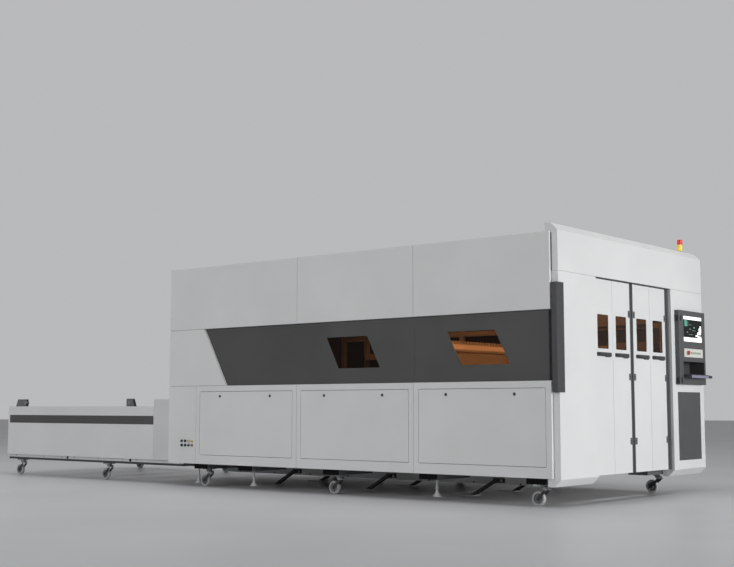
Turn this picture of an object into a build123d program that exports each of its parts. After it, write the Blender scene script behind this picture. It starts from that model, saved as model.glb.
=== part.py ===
from build123d import *
import os
from math import cos, radians, sin, tan

# Enclosed sheet cutter with a two-level exchange table, in millimetres.
# +X runs along the machine towards the folding door, the long service side faces -Y
# and +Z is up. The origin is on the floor under the middle of the whole machine.

# Lengths along X, from the door end back to the end of the exchange table
tray_reach = 125
panel_setback = 61
module_pitch = 1420
module_count = 3
rear_column = 421
junction_length = 441
table_length = 2711

# Widths along Y; the bed lies beside the near posts, so bed and table are off the middle
enclosure_width = 2852
portal_inset = 30
bed_clearance = 10
table_width = 2016

# Heights
caster_height = 185
pad_height = 50
base_height = 100
band_bottom = 1038
band_top = 1627
enclosure_height = 2277
portal_bottom = 168
portal_rise = 73
door_top = 1947
table_bottom = 247
table_top = 827
junction_top = 903

# Sheet metal and the tube of the enclosure's frame
post = 50
sheet = 2
portal_sheet = 3
panel_depth = 26
panel_gap = 3
band_recess = 24
band_slant_top = 528
band_slant_bottom = 860
band_front_gap = 30

# Side windows, measured from the front ends of their modules
window_bottom = 1182
window_top = 1478
window_width = 499
window_slant = 153
window_offsets = (563, 556)
glass_thickness = 4
glass_overlap = 14

# Access doors over the scrap trays
access_margin = 55
access_bottom = 327
access_height = 653
access_gap = 4
access_depth = 22
access_pivot = 6
pivot_radius = 4
pivot_clearance = 0.05
lock_radius = 13
lock_height = 929
lock_offsets = (301, 302)

# Portal and folding door
portal_depth = 122
portal_chamfer = 62
door_width = 1461
door_console_gap = 73.5
leaf_bottom = 236
leaf_top = 1936
leaf_recess = 26
leaf_thickness = 30
leaf_lip = 25
leaf_play = 12
end_leaf_reach = 335
pin_lift = 6
pin_radius = 3
knuckle_radius = 6
hinge_height = 60
hinge_flange = 66
hidden_flange = 34
hinge_plate = 2.5
hinge_levels = (515, 1090, 1657)
jamb_width = 40
stile_width = 30
jamb_stile_width = 39
leaf_window_surround = 164
leaf_window_bottom = 1328
leaf_window_top = 1627
leaf_window_radius = 12
leaf_window_margin = 66
handle_overhang = 64
handle_height = 28
handle_depth = 15
handle_drop = 37
track_height = 7
track_depth = 70
hanger_radius = 5
hanger_clearance = 0.3

# Console on the far leg of the portal; what it holds is measured from its near edge
console_inset = 37
console_width = 585
console_bottom = 1036
console_top = 1750
console_depth = 45
console_sheet = 3
nook_inset = 82
nook_width = 471
nook_bottom = 1110
nook_height = 147
nook_depth = 155
screen_inset = 102
screen_width = 409
screen_bottom = 1452
screen_height = 246
button_plate_inset = 102
button_plate_width = 416
button_plate_bottom = 1301
button_plate_height = 82
button_count = 5
button_pitch = 46.5
button_radius = 9
button_travel = 3
estop_radius = 20
estop_travel = 5
tray_length = 150
tray_clearance = 0.3
cabinet_inset = 35
cabinet_width = 495
cabinet_bottom = 313
cabinet_height = 651

# Bed, gantry and head
bed_gauge = 1010
bed_beam_width = 160
bed_beam_bottom = 860
bed_beam_top = 1020
rail_width = 30
rail_height = 25
slide_clearance = 0.5
gantry_front = 1600
gantry_depth = 300
gantry_bottom = 1110
gantry_height = 300
cross_rail = 20
head_parking = 290
head_nozzle_height = 850

# Exchange pallets, their rails and the chain drive
pallet_length = 3100
pallet_width = 1720
pallet_start = 150
exchange_travel = 3500
rail_levels = (700, 530)
rail_gauge = 930
rail_leg = 60
rail_sheet = 6
pallet_beam = 60
pallet_beam_height = 80
pallet_bays = 4
slat_pitch = 150
slat_thickness = 5
slat_height = 60
slat_clearance = 0.2
roller_radius = 25
chain_gauge = 913
chain_width = 16
chain_height = 615
chain_radius = 45
chain_thickness = 14
drive_setback = 90
shaft_radius = 20

# Places that the rest follows
overall_length = (tray_reach + panel_setback + module_count * module_pitch + rear_column
                  + junction_length + table_length)
x_front = overall_length / 2 - tray_reach
x_portal_back = x_front - portal_depth
x_panel_front = x_front - panel_setback
seams = [x_panel_front - i * module_pitch for i in range(module_count + 1)]
x_rear = seams[-1] - rear_column
x_table_front = x_rear - junction_length
x_table_rear = x_table_front - table_length
half_width = enclosure_width / 2
portal_half = half_width - portal_inset
table_half = table_width / 2
base_bottom = caster_height + pad_height
base_top = base_bottom + base_height
portal_top = enclosure_height + portal_rise
y_frame = half_width - panel_depth
core_offset = bed_clearance + bed_gauge + bed_beam_width / 2 - (y_frame - post)
console_near_edge = portal_half - console_inset - console_width
nook_near_edge = console_near_edge + nook_inset
screen_near_edge = console_near_edge + screen_inset
button_plate_near_edge = console_near_edge + button_plate_inset
cabinet_near_edge = console_near_edge + cabinet_inset
door_high = console_near_edge - door_console_gap
door_low = door_high - door_width
pin_spacing = (door_width - jamb_width - end_leaf_reach) / 3
leaf_window_width = pin_spacing - leaf_window_surround
handle_length = leaf_window_width + handle_overhang

near_face = Plane(origin=(0, -half_width, 0), x_dir=(1, 0, 0), z_dir=(0, -1, 0))
far_face = Plane(origin=(0, half_width, 0), x_dir=(-1, 0, 0), z_dir=(0, 1, 0))
front_face = Plane(origin=(x_front, 0, 0), x_dir=(0, 1, 0), z_dir=(1, 0, 0))
rear_face = Plane(origin=(x_rear, 0, 0), x_dir=(0, -1, 0), z_dir=(-1, 0, 0))


def section_plane(y):
    """The plane across Y at y, with X and Z as its own two axes."""
    return Plane(origin=(0, y, 0), x_dir=(1, 0, 0), z_dir=(0, -1, 0))


def flat(left, right, low, high, radius=0):
    """A rectangle between four limits, with rounded corners where asked."""
    with BuildSketch() as shape:
        with Locations(((left + right) / 2, (low + high) / 2)):
            if radius:
                RectangleRounded(right - left, high - low, radius)
            else:
                Rectangle(right - left, high - low)
    return shape.sketch


def bar(x0, x1, y0, y1, z0, z1):
    """Square-cut stock between two limits on each axis."""
    with BuildPart() as stock:
        with BuildSketch(Plane.XY.offset(z0)):
            add(flat(x0, x1, y0, y1))
        extrude(amount=z1 - z0)
    return stock.part


def copies(shape, places):
    """One solid repeated at several places, as separate solids of one piece."""
    return Compound(children=[shape.solid().moved(Location(place)) for place in places])


def folded_sheet(plane, outline, depth, openings=(), cutouts=(), lip=0, wall=sheet):
    """A sheet folded back at its edges and openings; lip turns the edge in again behind."""
    with BuildPart() as folded:
        with BuildSketch(plane):
            add(outline)
            for hole in openings:
                add(hole, mode=Mode.SUBTRACT)
        extrude(amount=-depth)
        with BuildSketch(plane.offset(-wall)):
            offset(outline, amount=-wall, kind=Kind.INTERSECTION, mode=Mode.ADD)
            for hole in openings:
                offset(hole, amount=wall, kind=Kind.INTERSECTION, mode=Mode.SUBTRACT)
        extrude(amount=-(depth - (2 * wall if lip else wall)), mode=Mode.SUBTRACT)
        if lip:
            with BuildSketch(plane.offset(-depth)):
                offset(outline, amount=-lip, kind=Kind.INTERSECTION, mode=Mode.ADD)
            extrude(amount=wall, mode=Mode.SUBTRACT)
        if cutouts:
            with BuildSketch(plane):
                for hole in cutouts:
                    add(hole)
            extrude(amount=-wall, mode=Mode.SUBTRACT)
    return folded.part


# Base frame: a welded ladder on pads, with the casters and levelling feet below it
beam_width = 100
core_beam_width = 220
core_beam_inner = bed_gauge - bed_beam_width / 2
brace_beam_width = 80
brace_gauge = 356
pad_length = 500
pad_width = 200
cross_stations = [x_rear + panel_depth + 2 + beam_width / 2] + [x for x in reversed(seams[1:])]
cross_stations.append(x_portal_back - beam_width / 2)
caster_stations = [seams[3] + 61, seams[2] + 421, x_portal_back - 108]
foot_stations = [x_rear + 312, seams[3] + 701, seams[1] + 141]
pad_stations = caster_stations + foot_stations[1:]
x_base_rear = cross_stations[0] - beam_width / 2
x_base_front = cross_stations[-1] + beam_width / 2

with BuildPart() as base_frame:
    ladder_rows = [(-y_frame, core_offset - core_beam_inner), (y_frame - beam_width, y_frame)]
    ladder_rows.append((core_offset + core_beam_inner, core_offset + core_beam_inner + core_beam_width))
    for side in (-1, 1):
        middle = core_offset + side * brace_gauge
        ladder_rows.append((middle - brace_beam_width / 2, middle + brace_beam_width / 2))
    with BuildSketch(Plane.XY.offset(base_bottom)):
        for low, high in ladder_rows:
            add(flat(x_base_rear, x_base_front, low, high))
        for x in cross_stations:
            add(flat(x - beam_width / 2, x + beam_width / 2, -y_frame, y_frame))
    extrude(amount=base_height)
    with BuildSketch(Plane.XY.offset(caster_height)):
        for x in pad_stations:
            add(flat(x - pad_width / 2, x + pad_width / 2, -y_frame, -y_frame + pad_length))
            far_edge = 2 * core_offset + y_frame
            add(flat(x - pad_width / 2, x + pad_width / 2, far_edge - pad_length, far_edge))
    extrude(amount=pad_height)
base_frame.part.label = "base_frame"

# Floor braces: slanted flat bars down to plates that are bolted to the floor
brace_width = 40
brace_thickness = 26
brace_angle = 30
floor_plate_thickness = 6
floor_plate_width = 120
floor_plate_back = 170
floor_plate_front = 45
anchor_radius = 7
anchor_spacing = 70
anchor_setback = 115
brace_stations = [seams[3] + 391, seams[2] + 236, seams[1] + 81]
brace_rows = (core_offset - brace_gauge, core_offset + brace_gauge)
brace_rise = base_bottom - floor_plate_thickness
brace_run = brace_rise / tan(radians(brace_angle))
brace_foot = brace_thickness / sin(radians(brace_angle))

with BuildPart() as floor_brace:
    with BuildSketch(Plane.XY):
        add(flat(-floor_plate_back, floor_plate_front, -floor_plate_width / 2, floor_plate_width / 2, 8))
        with Locations((-anchor_setback - anchor_spacing / 2, 0), (-anchor_setback + anchor_spacing / 2, 0)):
            Circle(anchor_radius, mode=Mode.SUBTRACT)
    extrude(amount=floor_plate_thickness)
    with BuildSketch(section_plane(-brace_width / 2)):
        with BuildLine():
            Polyline((-brace_foot / 2, floor_plate_thickness), (brace_foot / 2, floor_plate_thickness),
                     (brace_foot / 2 + brace_run, base_bottom), (-brace_foot / 2 + brace_run, base_bottom),
                     close=True)
        make_face()
    extrude(amount=-brace_width)
floor_braces = copies(floor_brace.part, [(x, y, 0) for x in brace_stations for y in brace_rows])

# Levelling feet, wound up clear of the floor while the machine stands on its casters
foot_clearance = 30
foot_radius = 38
foot_stem_radius = 9
foot_row = 1020


def levelling_foot(seat):
    """A foot, its stem and its lock nut up to the face that carries it."""
    nut = seat - foot_clearance - 14
    with BuildPart() as foot:
        with BuildSketch(Plane(origin=(0, 0, foot_clearance), x_dir=(1, 0, 0), z_dir=(0, -1, 0))):
            with BuildLine():
                Polyline((0, 0), (foot_radius, 0), (foot_radius, 8), (foot_radius - 8, 12), (20, 30), (13, 38),
                         (13, 50), (foot_stem_radius, 54), (foot_stem_radius, nut), (0, nut), close=True)
            make_face()
        revolve(axis=Axis.Z)
        with BuildSketch(Plane.XY.offset(foot_clearance + nut)):
            RegularPolygon(16, 6)
        extrude(amount=seat - foot_clearance - nut)
    return foot.part


foot_solids = []
for side in (-1, 1):
    for x in foot_stations:
        foot = levelling_foot(caster_height if x in pad_stations else base_bottom)
        foot_solids.append(foot.solid().moved(Location((x, core_offset + side * foot_row, 0))))
levelling_feet = Compound(children=foot_solids)

# Casters: a plate, a turned fork that trails the wheel, an axle and a brake pedal
wheel_radius = 62.5
wheel_width = 38
wheel_bore = 8
axle_clearance = 0.3
caster_trail = 48
caster_plate = 6
fork_sheet = 4
fork_gap = 3
main_caster_row = 1035
table_caster_row = 940
table_caster_stations = [x_table_rear + 234, x_table_front - 827]
table_rail_bottom = 190
axle_end = wheel_width / 2 + fork_gap + fork_sheet + 4
caster_places = [(x, core_offset + side * main_caster_row)
                 for side in (-1, 1) for x in caster_stations]
caster_places += [(x, core_offset + side * table_caster_row)
                  for side in (-1, 1) for x in table_caster_stations]

crown = caster_height - caster_plate - 16

with BuildPart() as caster_fork:
    with BuildSketch(Plane.XY.offset(caster_height - caster_plate)):
        RectangleRounded(110, 90, 10)
    extrude(amount=caster_plate)
    with BuildSketch(Plane.XY.offset(crown)):
        Circle(32)
    extrude(amount=16)
    for side in (-1, 1):
        inner = side * (wheel_width / 2 + fork_gap)
        with BuildSketch(section_plane(min(inner, inner + side * fork_sheet))):
            with BuildLine():
                Polyline((-30, crown), (30, crown), (30, crown - 14), (16 - caster_trail, wheel_radius - 12),
                         (-caster_trail - 16, wheel_radius - 12), (-caster_trail - 18, wheel_radius + 16),
                         close=True)
            make_face()
        extrude(amount=-fork_sheet)
    with BuildSketch(Plane.XY.offset(crown - 4)):
        Rectangle(60, wheel_width + 2 * (fork_gap + fork_sheet))
    extrude(amount=4)
    with BuildSketch(section_plane(-axle_end)):
        with Locations((-caster_trail, wheel_radius)):
            Circle(wheel_bore - axle_clearance)
    extrude(amount=-2 * axle_end)
    with BuildSketch(section_plane(-15)):
        with BuildLine():
            Polyline((30, crown - 2), (30, crown - 12), (58, crown - 30), (64, crown - 24), (44, crown - 2),
                     close=True)
        make_face()
    extrude(amount=-30)
caster_forks = copies(caster_fork.part, [(x, y, 0) for x, y in caster_places])

with BuildPart() as caster_wheel:
    with BuildSketch(Plane.YZ):
        with BuildLine():
            Polyline((-wheel_width / 2, wheel_bore), (wheel_width / 2, wheel_bore), (wheel_width / 2, 22),
                     (wheel_width / 2 - 10, 22), (wheel_width / 2 - 10, 42), (wheel_width / 2 - 2, 46),
                     (wheel_width / 2 - 2, wheel_radius - 5), (wheel_width / 2 - 8, wheel_radius),
                     (8 - wheel_width / 2, wheel_radius), (2 - wheel_width / 2, wheel_radius - 5),
                     (2 - wheel_width / 2, 46), (10 - wheel_width / 2, 42), (10 - wheel_width / 2, 22),
                     (-wheel_width / 2, 22), close=True)
        make_face()
    revolve(axis=Axis.Y)
caster_wheels = copies(caster_wheel.part, [(x - caster_trail, y, wheel_radius) for x, y in caster_places])

# Enclosure frame: posts on the base, with rails behind the panel joints and under the roof
roof_depth = 25
frame_top = enclosure_height - sheet - roof_depth
post_stations = [x_base_rear + post / 2] + [x for x in reversed(seams[1:])]
post_stations.append(x_portal_back - post / 2)
rail_heights = (band_bottom - post, band_top)

enclosure_tubes = []
for side in (-1, 1):
    inner, outer = side * (y_frame - post), side * y_frame
    low, high = min(inner, outer), max(inner, outer)
    for x in post_stations:
        enclosure_tubes.append(bar(x - post / 2, x + post / 2, low, high, base_top, frame_top))
    for start, end in zip(post_stations, post_stations[1:]):
        for z in (*rail_heights, frame_top - post):
            enclosure_tubes.append(bar(start + post / 2, end - post / 2, low, high, z, z + post))
for x in post_stations:
    enclosure_tubes.append(bar(x - post / 2, x + post / 2, post - y_frame, y_frame - post, frame_top - post,
                               frame_top))
enclosure_frame = Compound(children=[tube.solid() for tube in enclosure_tubes])

# White panels of the near side, folded from sheet
upper_spans = [(x_rear, seams[2]), (seams[2], seams[1]), (seams[1], seams[0])]
lower_spans = [(seams[i + 1], seams[i]) for i in range(module_count)]
half_gap = panel_gap / 2


def panel_outline(span, low, high):
    """One panel of a wall, half a gap short of each neighbour."""
    return flat(span[0] + half_gap, span[1] - half_gap, low + half_gap, high - half_gap)


with BuildSketch() as band_end_outline:
    with BuildLine():
        Polyline((x_rear + half_gap, band_bottom + half_gap),
                 (x_rear + band_slant_bottom - half_gap, band_bottom + half_gap),
                 (x_rear + band_slant_top - half_gap, band_top - half_gap),
                 (x_rear + half_gap, band_top - half_gap), close=True)
    make_face()

with BuildPart() as near_upper_panels:
    for span in upper_spans:
        add(folded_sheet(near_face, panel_outline(span, band_top, enclosure_height), panel_depth))
    add(folded_sheet(near_face, band_end_outline.sketch, panel_depth))
near_upper_panels.part.label = "near_upper_panels"

# Hose connectors in the rear column, two rows of four
connector_pitch = 52
connector_row_pitch = 44
connector_hole = 11
connector_columns = 4
connector_start = x_rear + 213
connector_top = 468
connector_places = [(connector_start + column * connector_pitch, connector_top - row * connector_row_pitch)
                    for row in range(2) for column in range(connector_columns)]

access_places = []
for span in lower_spans:
    access_places.append((span[0] + access_margin, span[1] - access_margin))
access_top = access_bottom + access_height
pivot_y = -half_width + access_pivot
pivot_z = access_bottom + access_gap + access_pivot
pivot_reach = sheet + access_gap + sheet + 6

with BuildSketch() as connector_holes:
    with Locations(*connector_places):
        Circle(connector_hole)

with BuildPart() as near_lower_panels:
    add(folded_sheet(near_face, panel_outline((x_rear, seams[-1]), base_bottom, band_bottom), panel_depth,
                     cutouts=[connector_holes.sketch]))
    for span, door in zip(lower_spans, access_places):
        add(folded_sheet(near_face, panel_outline(span, base_bottom, band_bottom), panel_depth,
                         openings=[flat(door[0], door[1], access_bottom, access_top)]))
        for edge, sign in ((door[0], 1), (door[1], -1)):
            start = edge - sign * sheet
            with BuildSketch(Plane(origin=(start, pivot_y, pivot_z), x_dir=(0, 1, 0), z_dir=(sign, 0, 0))):
                Circle(pivot_radius)
            extrude(amount=pivot_reach)
near_lower_panels.part.label = "near_lower_panels"

with BuildPart() as hose_connector:
    with BuildSketch(Plane.XY):
        with BuildLine():
            Polyline((6, 26), (10, 26), (10, 0), (17, 0), (17, -5), (12, -5), (12, -14), (6, -14), close=True)
        make_face()
    revolve(axis=Axis.Y)
    with BuildSketch(section_plane(26)):
        Circle(9)
    extrude(amount=4)
hose_connectors = copies(hose_connector.part, [(x, -half_width, z) for x, z in connector_places])

# Dark band, set back between the white panels, with two slanted windows
band_face = near_face.offset(-band_recess)
x_band_front = x_panel_front - band_front_gap
window_spans = [(seams[i] - window_offsets[i] - window_width, seams[i] - window_offsets[i])
                for i in range(2)]


def slanted(left, right, low, high, lean):
    """A window outline whose sides lean towards the door end as they go down."""
    with BuildSketch() as shape:
        with BuildLine():
            Polyline((left + lean, low), (right + lean, low), (right, high), (left, high), close=True)
        make_face()
    return shape.sketch


with BuildPart() as near_band:
    with BuildSketch(band_face):
        with BuildLine():
            Polyline((x_rear + band_slant_bottom + half_gap, band_bottom + half_gap),
                     (seams[1] - half_gap, band_bottom + half_gap),
                     (seams[1] - half_gap, band_top - half_gap),
                     (x_rear + band_slant_top + half_gap, band_top - half_gap), close=True)
        make_face()
        add(flat(seams[1] + half_gap, x_band_front, band_bottom + half_gap, band_top - half_gap))
        for left, right in window_spans:
            add(slanted(left, right, window_bottom, window_top, window_slant), mode=Mode.SUBTRACT)
    extrude(amount=-sheet)
near_band.part.label = "near_band"

with BuildPart() as side_windows:
    with BuildSketch(band_face.offset(-sheet)):
        for left, right in window_spans:
            add(slanted(left - glass_overlap, right + glass_overlap, window_bottom - glass_overlap,
                        window_top + glass_overlap, window_slant))
    extrude(amount=-glass_thickness)
side_windows.part.label = "side_windows"

# Plain far side, rear wall with its pallet slot, and roof
slot_half = rail_gauge + 5
slot_bottom = rail_levels[1] - rail_leg - 10

with BuildPart() as far_panels:
    rows = ((base_bottom, band_bottom), (band_bottom, band_top), (band_top, enclosure_height))
    for span in [(x_rear, seams[-1]), *lower_spans]:
        for low, high in rows:
            outline = flat(-span[1] + half_gap, -span[0] - half_gap, low + half_gap, high - half_gap)
            add(folded_sheet(far_face, outline, panel_depth))
far_panels.part.label = "far_panels"

with BuildPart() as rear_wall:
    wall_half = y_frame - 2
    add(folded_sheet(rear_face, flat(-wall_half, wall_half, table_bottom + 5, enclosure_height - sheet),
                     panel_depth, openings=[flat(-core_offset - slot_half, -core_offset + slot_half,
                                                 slot_bottom, junction_top - 2 * sheet)]))
rear_wall.part.label = "rear_wall"

with BuildPart() as roof_panels:
    roof_starts = [x_rear + panel_depth + sheet, seams[2], seams[1]]
    for left, right in zip(roof_starts, [seams[2], seams[1], x_portal_back]):
        add(folded_sheet(Plane.XY.offset(enclosure_height - sheet),
                         flat(left + half_gap, right - half_gap, -y_frame + sheet, y_frame - sheet), roof_depth))
roof_panels.part.label = "roof_panels"

# Portal: two hollow legs and a header with chamfered edges, open behind
def portal_section(back, low, high, corner):
    """The portal's section between two heights, with its low or high front corner cut off."""
    with BuildSketch() as section:
        add(flat(back, x_front, low, high))
        corners = section.vertices().group_by(Axis.X)[-1].sort_by(Axis.Y)
        chamfer(corners[corner], length=portal_chamfer)
    return section.sketch


def portal_shell(y0, y1, low, high, corner):
    """A stretch of the portal as a folded shell, closed at both ends."""
    with BuildPart() as shell:
        with BuildSketch(section_plane(y0)):
            add(portal_section(x_portal_back, low, high, corner))
        extrude(amount=-(y1 - y0))
        with BuildSketch(section_plane(y0 + portal_sheet)):
            offset(portal_section(x_portal_back - 2 * portal_sheet, low, high, corner),
                   amount=-portal_sheet, kind=Kind.INTERSECTION, mode=Mode.ADD)
        extrude(amount=-(y1 - y0 - 2 * portal_sheet), mode=Mode.SUBTRACT)
    return shell.part


nook_wall = console_sheet
nook_far_edge = nook_near_edge + nook_width
nook_top = nook_bottom + nook_height
cabinet_lap = 20

with BuildPart() as portal_legs:
    for y0, y1 in ((-portal_half, door_low), (door_high, portal_half)):
        add(portal_shell(y0, y1, portal_bottom, door_top - 1, 0))
    with BuildSketch(front_face):
        add(flat(nook_near_edge - nook_wall - 1, nook_far_edge + nook_wall + 1,
                 nook_bottom - nook_wall - 1, nook_top + nook_wall + 1))
        add(flat(cabinet_near_edge + cabinet_lap, cabinet_near_edge + cabinet_width - cabinet_lap,
                 cabinet_bottom + cabinet_lap, cabinet_bottom + cabinet_height - cabinet_lap))
    extrude(amount=-portal_sheet, mode=Mode.SUBTRACT)
portal_legs.part.label = "portal_legs"

with BuildPart() as portal_header:
    add(portal_shell(-portal_half, portal_half, door_top + 1, portal_top, -1))
portal_header.part.label = "portal_header"

# Dark trim that wraps the near front corner of the portal
trim_bottom = 940
trim_top = 1850
trim_side = 48
trim_front = 105
trim_proud = 8

with BuildPart() as corner_trim:
    with BuildSketch(Plane.XY.offset(trim_bottom)) as trim:
        add(flat(x_front - trim_side, x_front + trim_proud, -half_width, -half_width + trim_front))
        nose = trim.vertices().group_by(Axis.X)[-1].sort_by(Axis.Y)
        chamfer(nose[0], length=trim_proud)
        add(flat(x_front - trim_side - 1, x_front, -portal_half, portal_half), mode=Mode.SUBTRACT)
    extrude(amount=trim_top - trim_bottom)
corner_trim.part.label = "corner_trim"

# Folding door. Its pins stand proud of the outer face at the jamb and at the middle,
# and proud of the inner face at the two apexes, so four leaves fold flat towards the jamb.
x_leaf = x_front - leaf_recess
x_outer_pin = x_leaf + pin_lift
x_inner_pin = x_leaf - leaf_thickness - pin_lift
jamb_pin = door_high - jamb_width
pins = [(x_outer_pin, jamb_pin), (x_inner_pin, jamb_pin - pin_spacing),
        (x_outer_pin, jamb_pin - 2 * pin_spacing), (x_inner_pin, jamb_pin - 3 * pin_spacing)]
leaf_face = front_face.offset(-leaf_recess)
edge_gap = 1.5
stile_gap = 2
leaf_edges = {
    4: (pins[1][1] + edge_gap, pins[0][1] - stile_gap - jamb_stile_width),
    3: (pins[2][1] + stile_gap + stile_width, pins[1][1] - edge_gap),
    2: (pins[3][1] + edge_gap, pins[2][1] - stile_gap - stile_width),
    1: (door_low + leaf_play, pins[3][1] - edge_gap),
}
window_centres = {
    4: leaf_edges[4][0] + leaf_window_margin - 6 + leaf_window_width / 2,
    3: leaf_edges[3][0] + leaf_window_margin + leaf_window_width / 2,
    2: leaf_edges[2][0] + leaf_window_margin - 6 + leaf_window_width / 2,
    1: leaf_edges[1][1] - leaf_window_margin - 6 - leaf_window_width / 2,
}
stiles = {
    4: (leaf_edges[4][1], pins[0][1] - stile_gap),
    3: (pins[2][1] + stile_gap, leaf_edges[3][0]),
    2: (leaf_edges[2][1], pins[2][1] - stile_gap),
}
# Each hinge half: which pin, which way the leaf lies from it, and 0 for the lower knuckle
hinge_halves = {
    4: ((0, -1, 1), (1, 1, 0)),
    3: ((1, -1, 1), (2, 1, 0)),
    2: ((2, -1, 1), (3, 1, 0)),
    1: ((3, -1, 1),),
}


def leaf_window_outline(leaf, grow=0):
    """The window of one leaf, grown all round for the pane behind it."""
    middle = window_centres[leaf]
    return flat(middle - leaf_window_width / 2 - grow, middle + leaf_window_width / 2 + grow,
                leaf_window_bottom - grow, leaf_window_top + grow, leaf_window_radius + grow)


def leaf_panel(leaf):
    """The white folded sheet of one leaf."""
    low, high = leaf_edges[leaf]
    return folded_sheet(leaf_face, flat(low, high, leaf_bottom, leaf_top), leaf_thickness,
                        cutouts=[leaf_window_outline(leaf)], lip=leaf_lip)


def leaf_pane(leaf):
    """The amber pane, held behind the leaf's skin."""
    with BuildPart() as pane:
        with BuildSketch(leaf_face.offset(-sheet)):
            add(leaf_window_outline(leaf, glass_overlap))
        extrude(amount=-glass_thickness)
    return pane.part


def hinge_half(pin, side, upper, flange=hinge_flange):
    """Flange and knuckle of one hinge half at all three levels; the lower half holds the pin."""
    x, y = pins[pin]
    outer = x > x_leaf
    reach = flange if outer else hidden_flange
    plate_low = x_leaf if outer else x_leaf - leaf_thickness - hinge_plate
    clear = knuckle_radius + 1.5
    with BuildPart() as half:
        for level in hinge_levels:
            bottom, middle = level - hinge_height / 2, level
            top = level + hinge_height / 2
            k0, k1 = (middle + 0.5, top) if upper else (bottom, middle)
            spans = ((clear, reach, bottom, top), (0, clear, k0, k1))
            for near, far, z0, z1 in spans:
                a, b = y + side * near, y + side * far
                add(bar(plate_low, plate_low + hinge_plate, min(a, b), max(a, b), z0, z1))
            with BuildSketch(Plane.XY.offset(k0)):
                with Locations((x, y)):
                    Circle(knuckle_radius)
            extrude(amount=k1 - k0)
            with BuildSketch(Plane.XY.offset(k0 if upper else k1)):
                with Locations((x, y)):
                    Circle(pin_radius + pivot_clearance if upper else pin_radius)
            if upper:
                extrude(amount=k1 - k0, mode=Mode.SUBTRACT)
            else:
                extrude(amount=top - middle)
    return half.part


def door_handle(leaf):
    """A low pull bar under the window, with a square lock at its near end."""
    start = window_centres[leaf] + 12 - handle_length / 2
    z0 = leaf_window_bottom - handle_drop - handle_height
    with BuildPart() as handle:
        with BuildSketch(leaf_face):
            add(flat(start, start + handle_length, z0 + 4, z0 + handle_height, 4))
        extrude(amount=5)
        with BuildSketch(leaf_face.offset(5)):
            add(flat(start + 3, start + 37, z0 + 5, z0 + handle_height - 1, 3))
            add(flat(start + 52, start + handle_length - 56, z0 + 9, z0 + handle_height - 5, 4))
        extrude(amount=handle_depth - 5)
    return handle.part


def leaf_hardware(leaf):
    """Everything dark on one leaf: its stile, hinge halves and handle."""
    with BuildPart() as hardware:
        if leaf in stiles:
            low, high = stiles[leaf]
            add(bar(x_leaf - leaf_thickness, x_leaf, low, high, leaf_bottom, leaf_top))
        for pin, side, upper in hinge_halves[leaf]:
            add(hinge_half(pin, side, upper))
        add(door_handle(leaf))
        if leaf == 3:
            x, y = pins[2]
            plate_top = leaf_top + 3
            add(bar(x_leaf - leaf_thickness, x + hanger_radius, y - hanger_radius, y + 26, leaf_top, plate_top))
            with BuildSketch(Plane.XY.offset(plate_top)):
                with Locations((x, y)):
                    Circle(hanger_radius)
            extrude(amount=door_top - plate_top - 1)
    return hardware.part


leaf_parts = {}
for leaf in leaf_edges:
    leaf_parts[f"leaf_{leaf}"] = leaf_panel(leaf)
    leaf_parts[f"leaf_{leaf}_window"] = leaf_pane(leaf)
    leaf_parts[f"leaf_{leaf}_hardware"] = leaf_hardware(leaf)

# Door track under the header and jamb post beside the console
track_top = door_top + 1
fold_angle = 78
slot_half_width = hanger_radius + hanger_clearance
slot_end = (jamb_pin - 2 * (x_outer_pin - x_inner_pin) * sin(radians(fold_angle))
            - 2 * pin_spacing * cos(radians(fold_angle)))

with BuildPart() as door_track:
    with BuildSketch(Plane.XY.offset(track_top - track_height)):
        add(flat(x_front - track_depth - 4, x_front - 4, door_low, door_high))
        with Locations((x_outer_pin, (pins[2][1] + slot_end) / 2)):
            Rectangle(2 * slot_half_width, slot_end - pins[2][1] + 4 * hanger_radius, mode=Mode.SUBTRACT)
    extrude(amount=track_height)
with BuildPart() as jamb_post:
    add(bar(x_leaf - leaf_thickness, x_leaf, jamb_pin + stile_gap, door_high, leaf_bottom,
            track_top - track_height))
    add(hinge_half(0, 1, 0, hidden_flange))
door_frame = Compound(children=[door_track.part.solid(), jamb_post.part.solid()])

# Access doors, pivoted near the bottom edge, each with two quarter-turn locks
access_parts = {}
for number, (left, right) in enumerate(access_places, start=1):
    lock_places = [(left + lock_offsets[0], lock_height), (right - lock_offsets[1], lock_height)]
    with BuildSketch() as lock_holes:
        with Locations(*lock_places):
            Circle(lock_radius - 3)
    with BuildPart() as access_door:
        add(folded_sheet(near_face, flat(left + access_gap, right - access_gap, access_bottom + access_gap,
                                         access_top - access_gap), access_depth,
                         cutouts=[lock_holes.sketch]))
        with BuildSketch(Plane(origin=(left, pivot_y, pivot_z), x_dir=(0, 1, 0), z_dir=(1, 0, 0))):
            Circle(pivot_radius + pivot_clearance)
        extrude(amount=right - left, mode=Mode.SUBTRACT)
    with BuildPart() as locks:
        for x, z in lock_places:
            with BuildSketch(Plane(origin=(x, -half_width, z), x_dir=(1, 0, 0), z_dir=(0, -1, 0))):
                Circle(lock_radius)
                SlotOverall(15, 3, rotation=90, mode=Mode.SUBTRACT)
            extrude(amount=2)
            with BuildSketch(Plane(origin=(x, -half_width, z), x_dir=(1, 0, 0), z_dir=(0, -1, 0))):
                Circle(lock_radius - 3.3)
            extrude(amount=-(access_depth - 4))
    access_parts[f"access_door_{number}"] = Compound(children=[*access_door.part.solids(), *locks.part.solids()])

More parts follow.
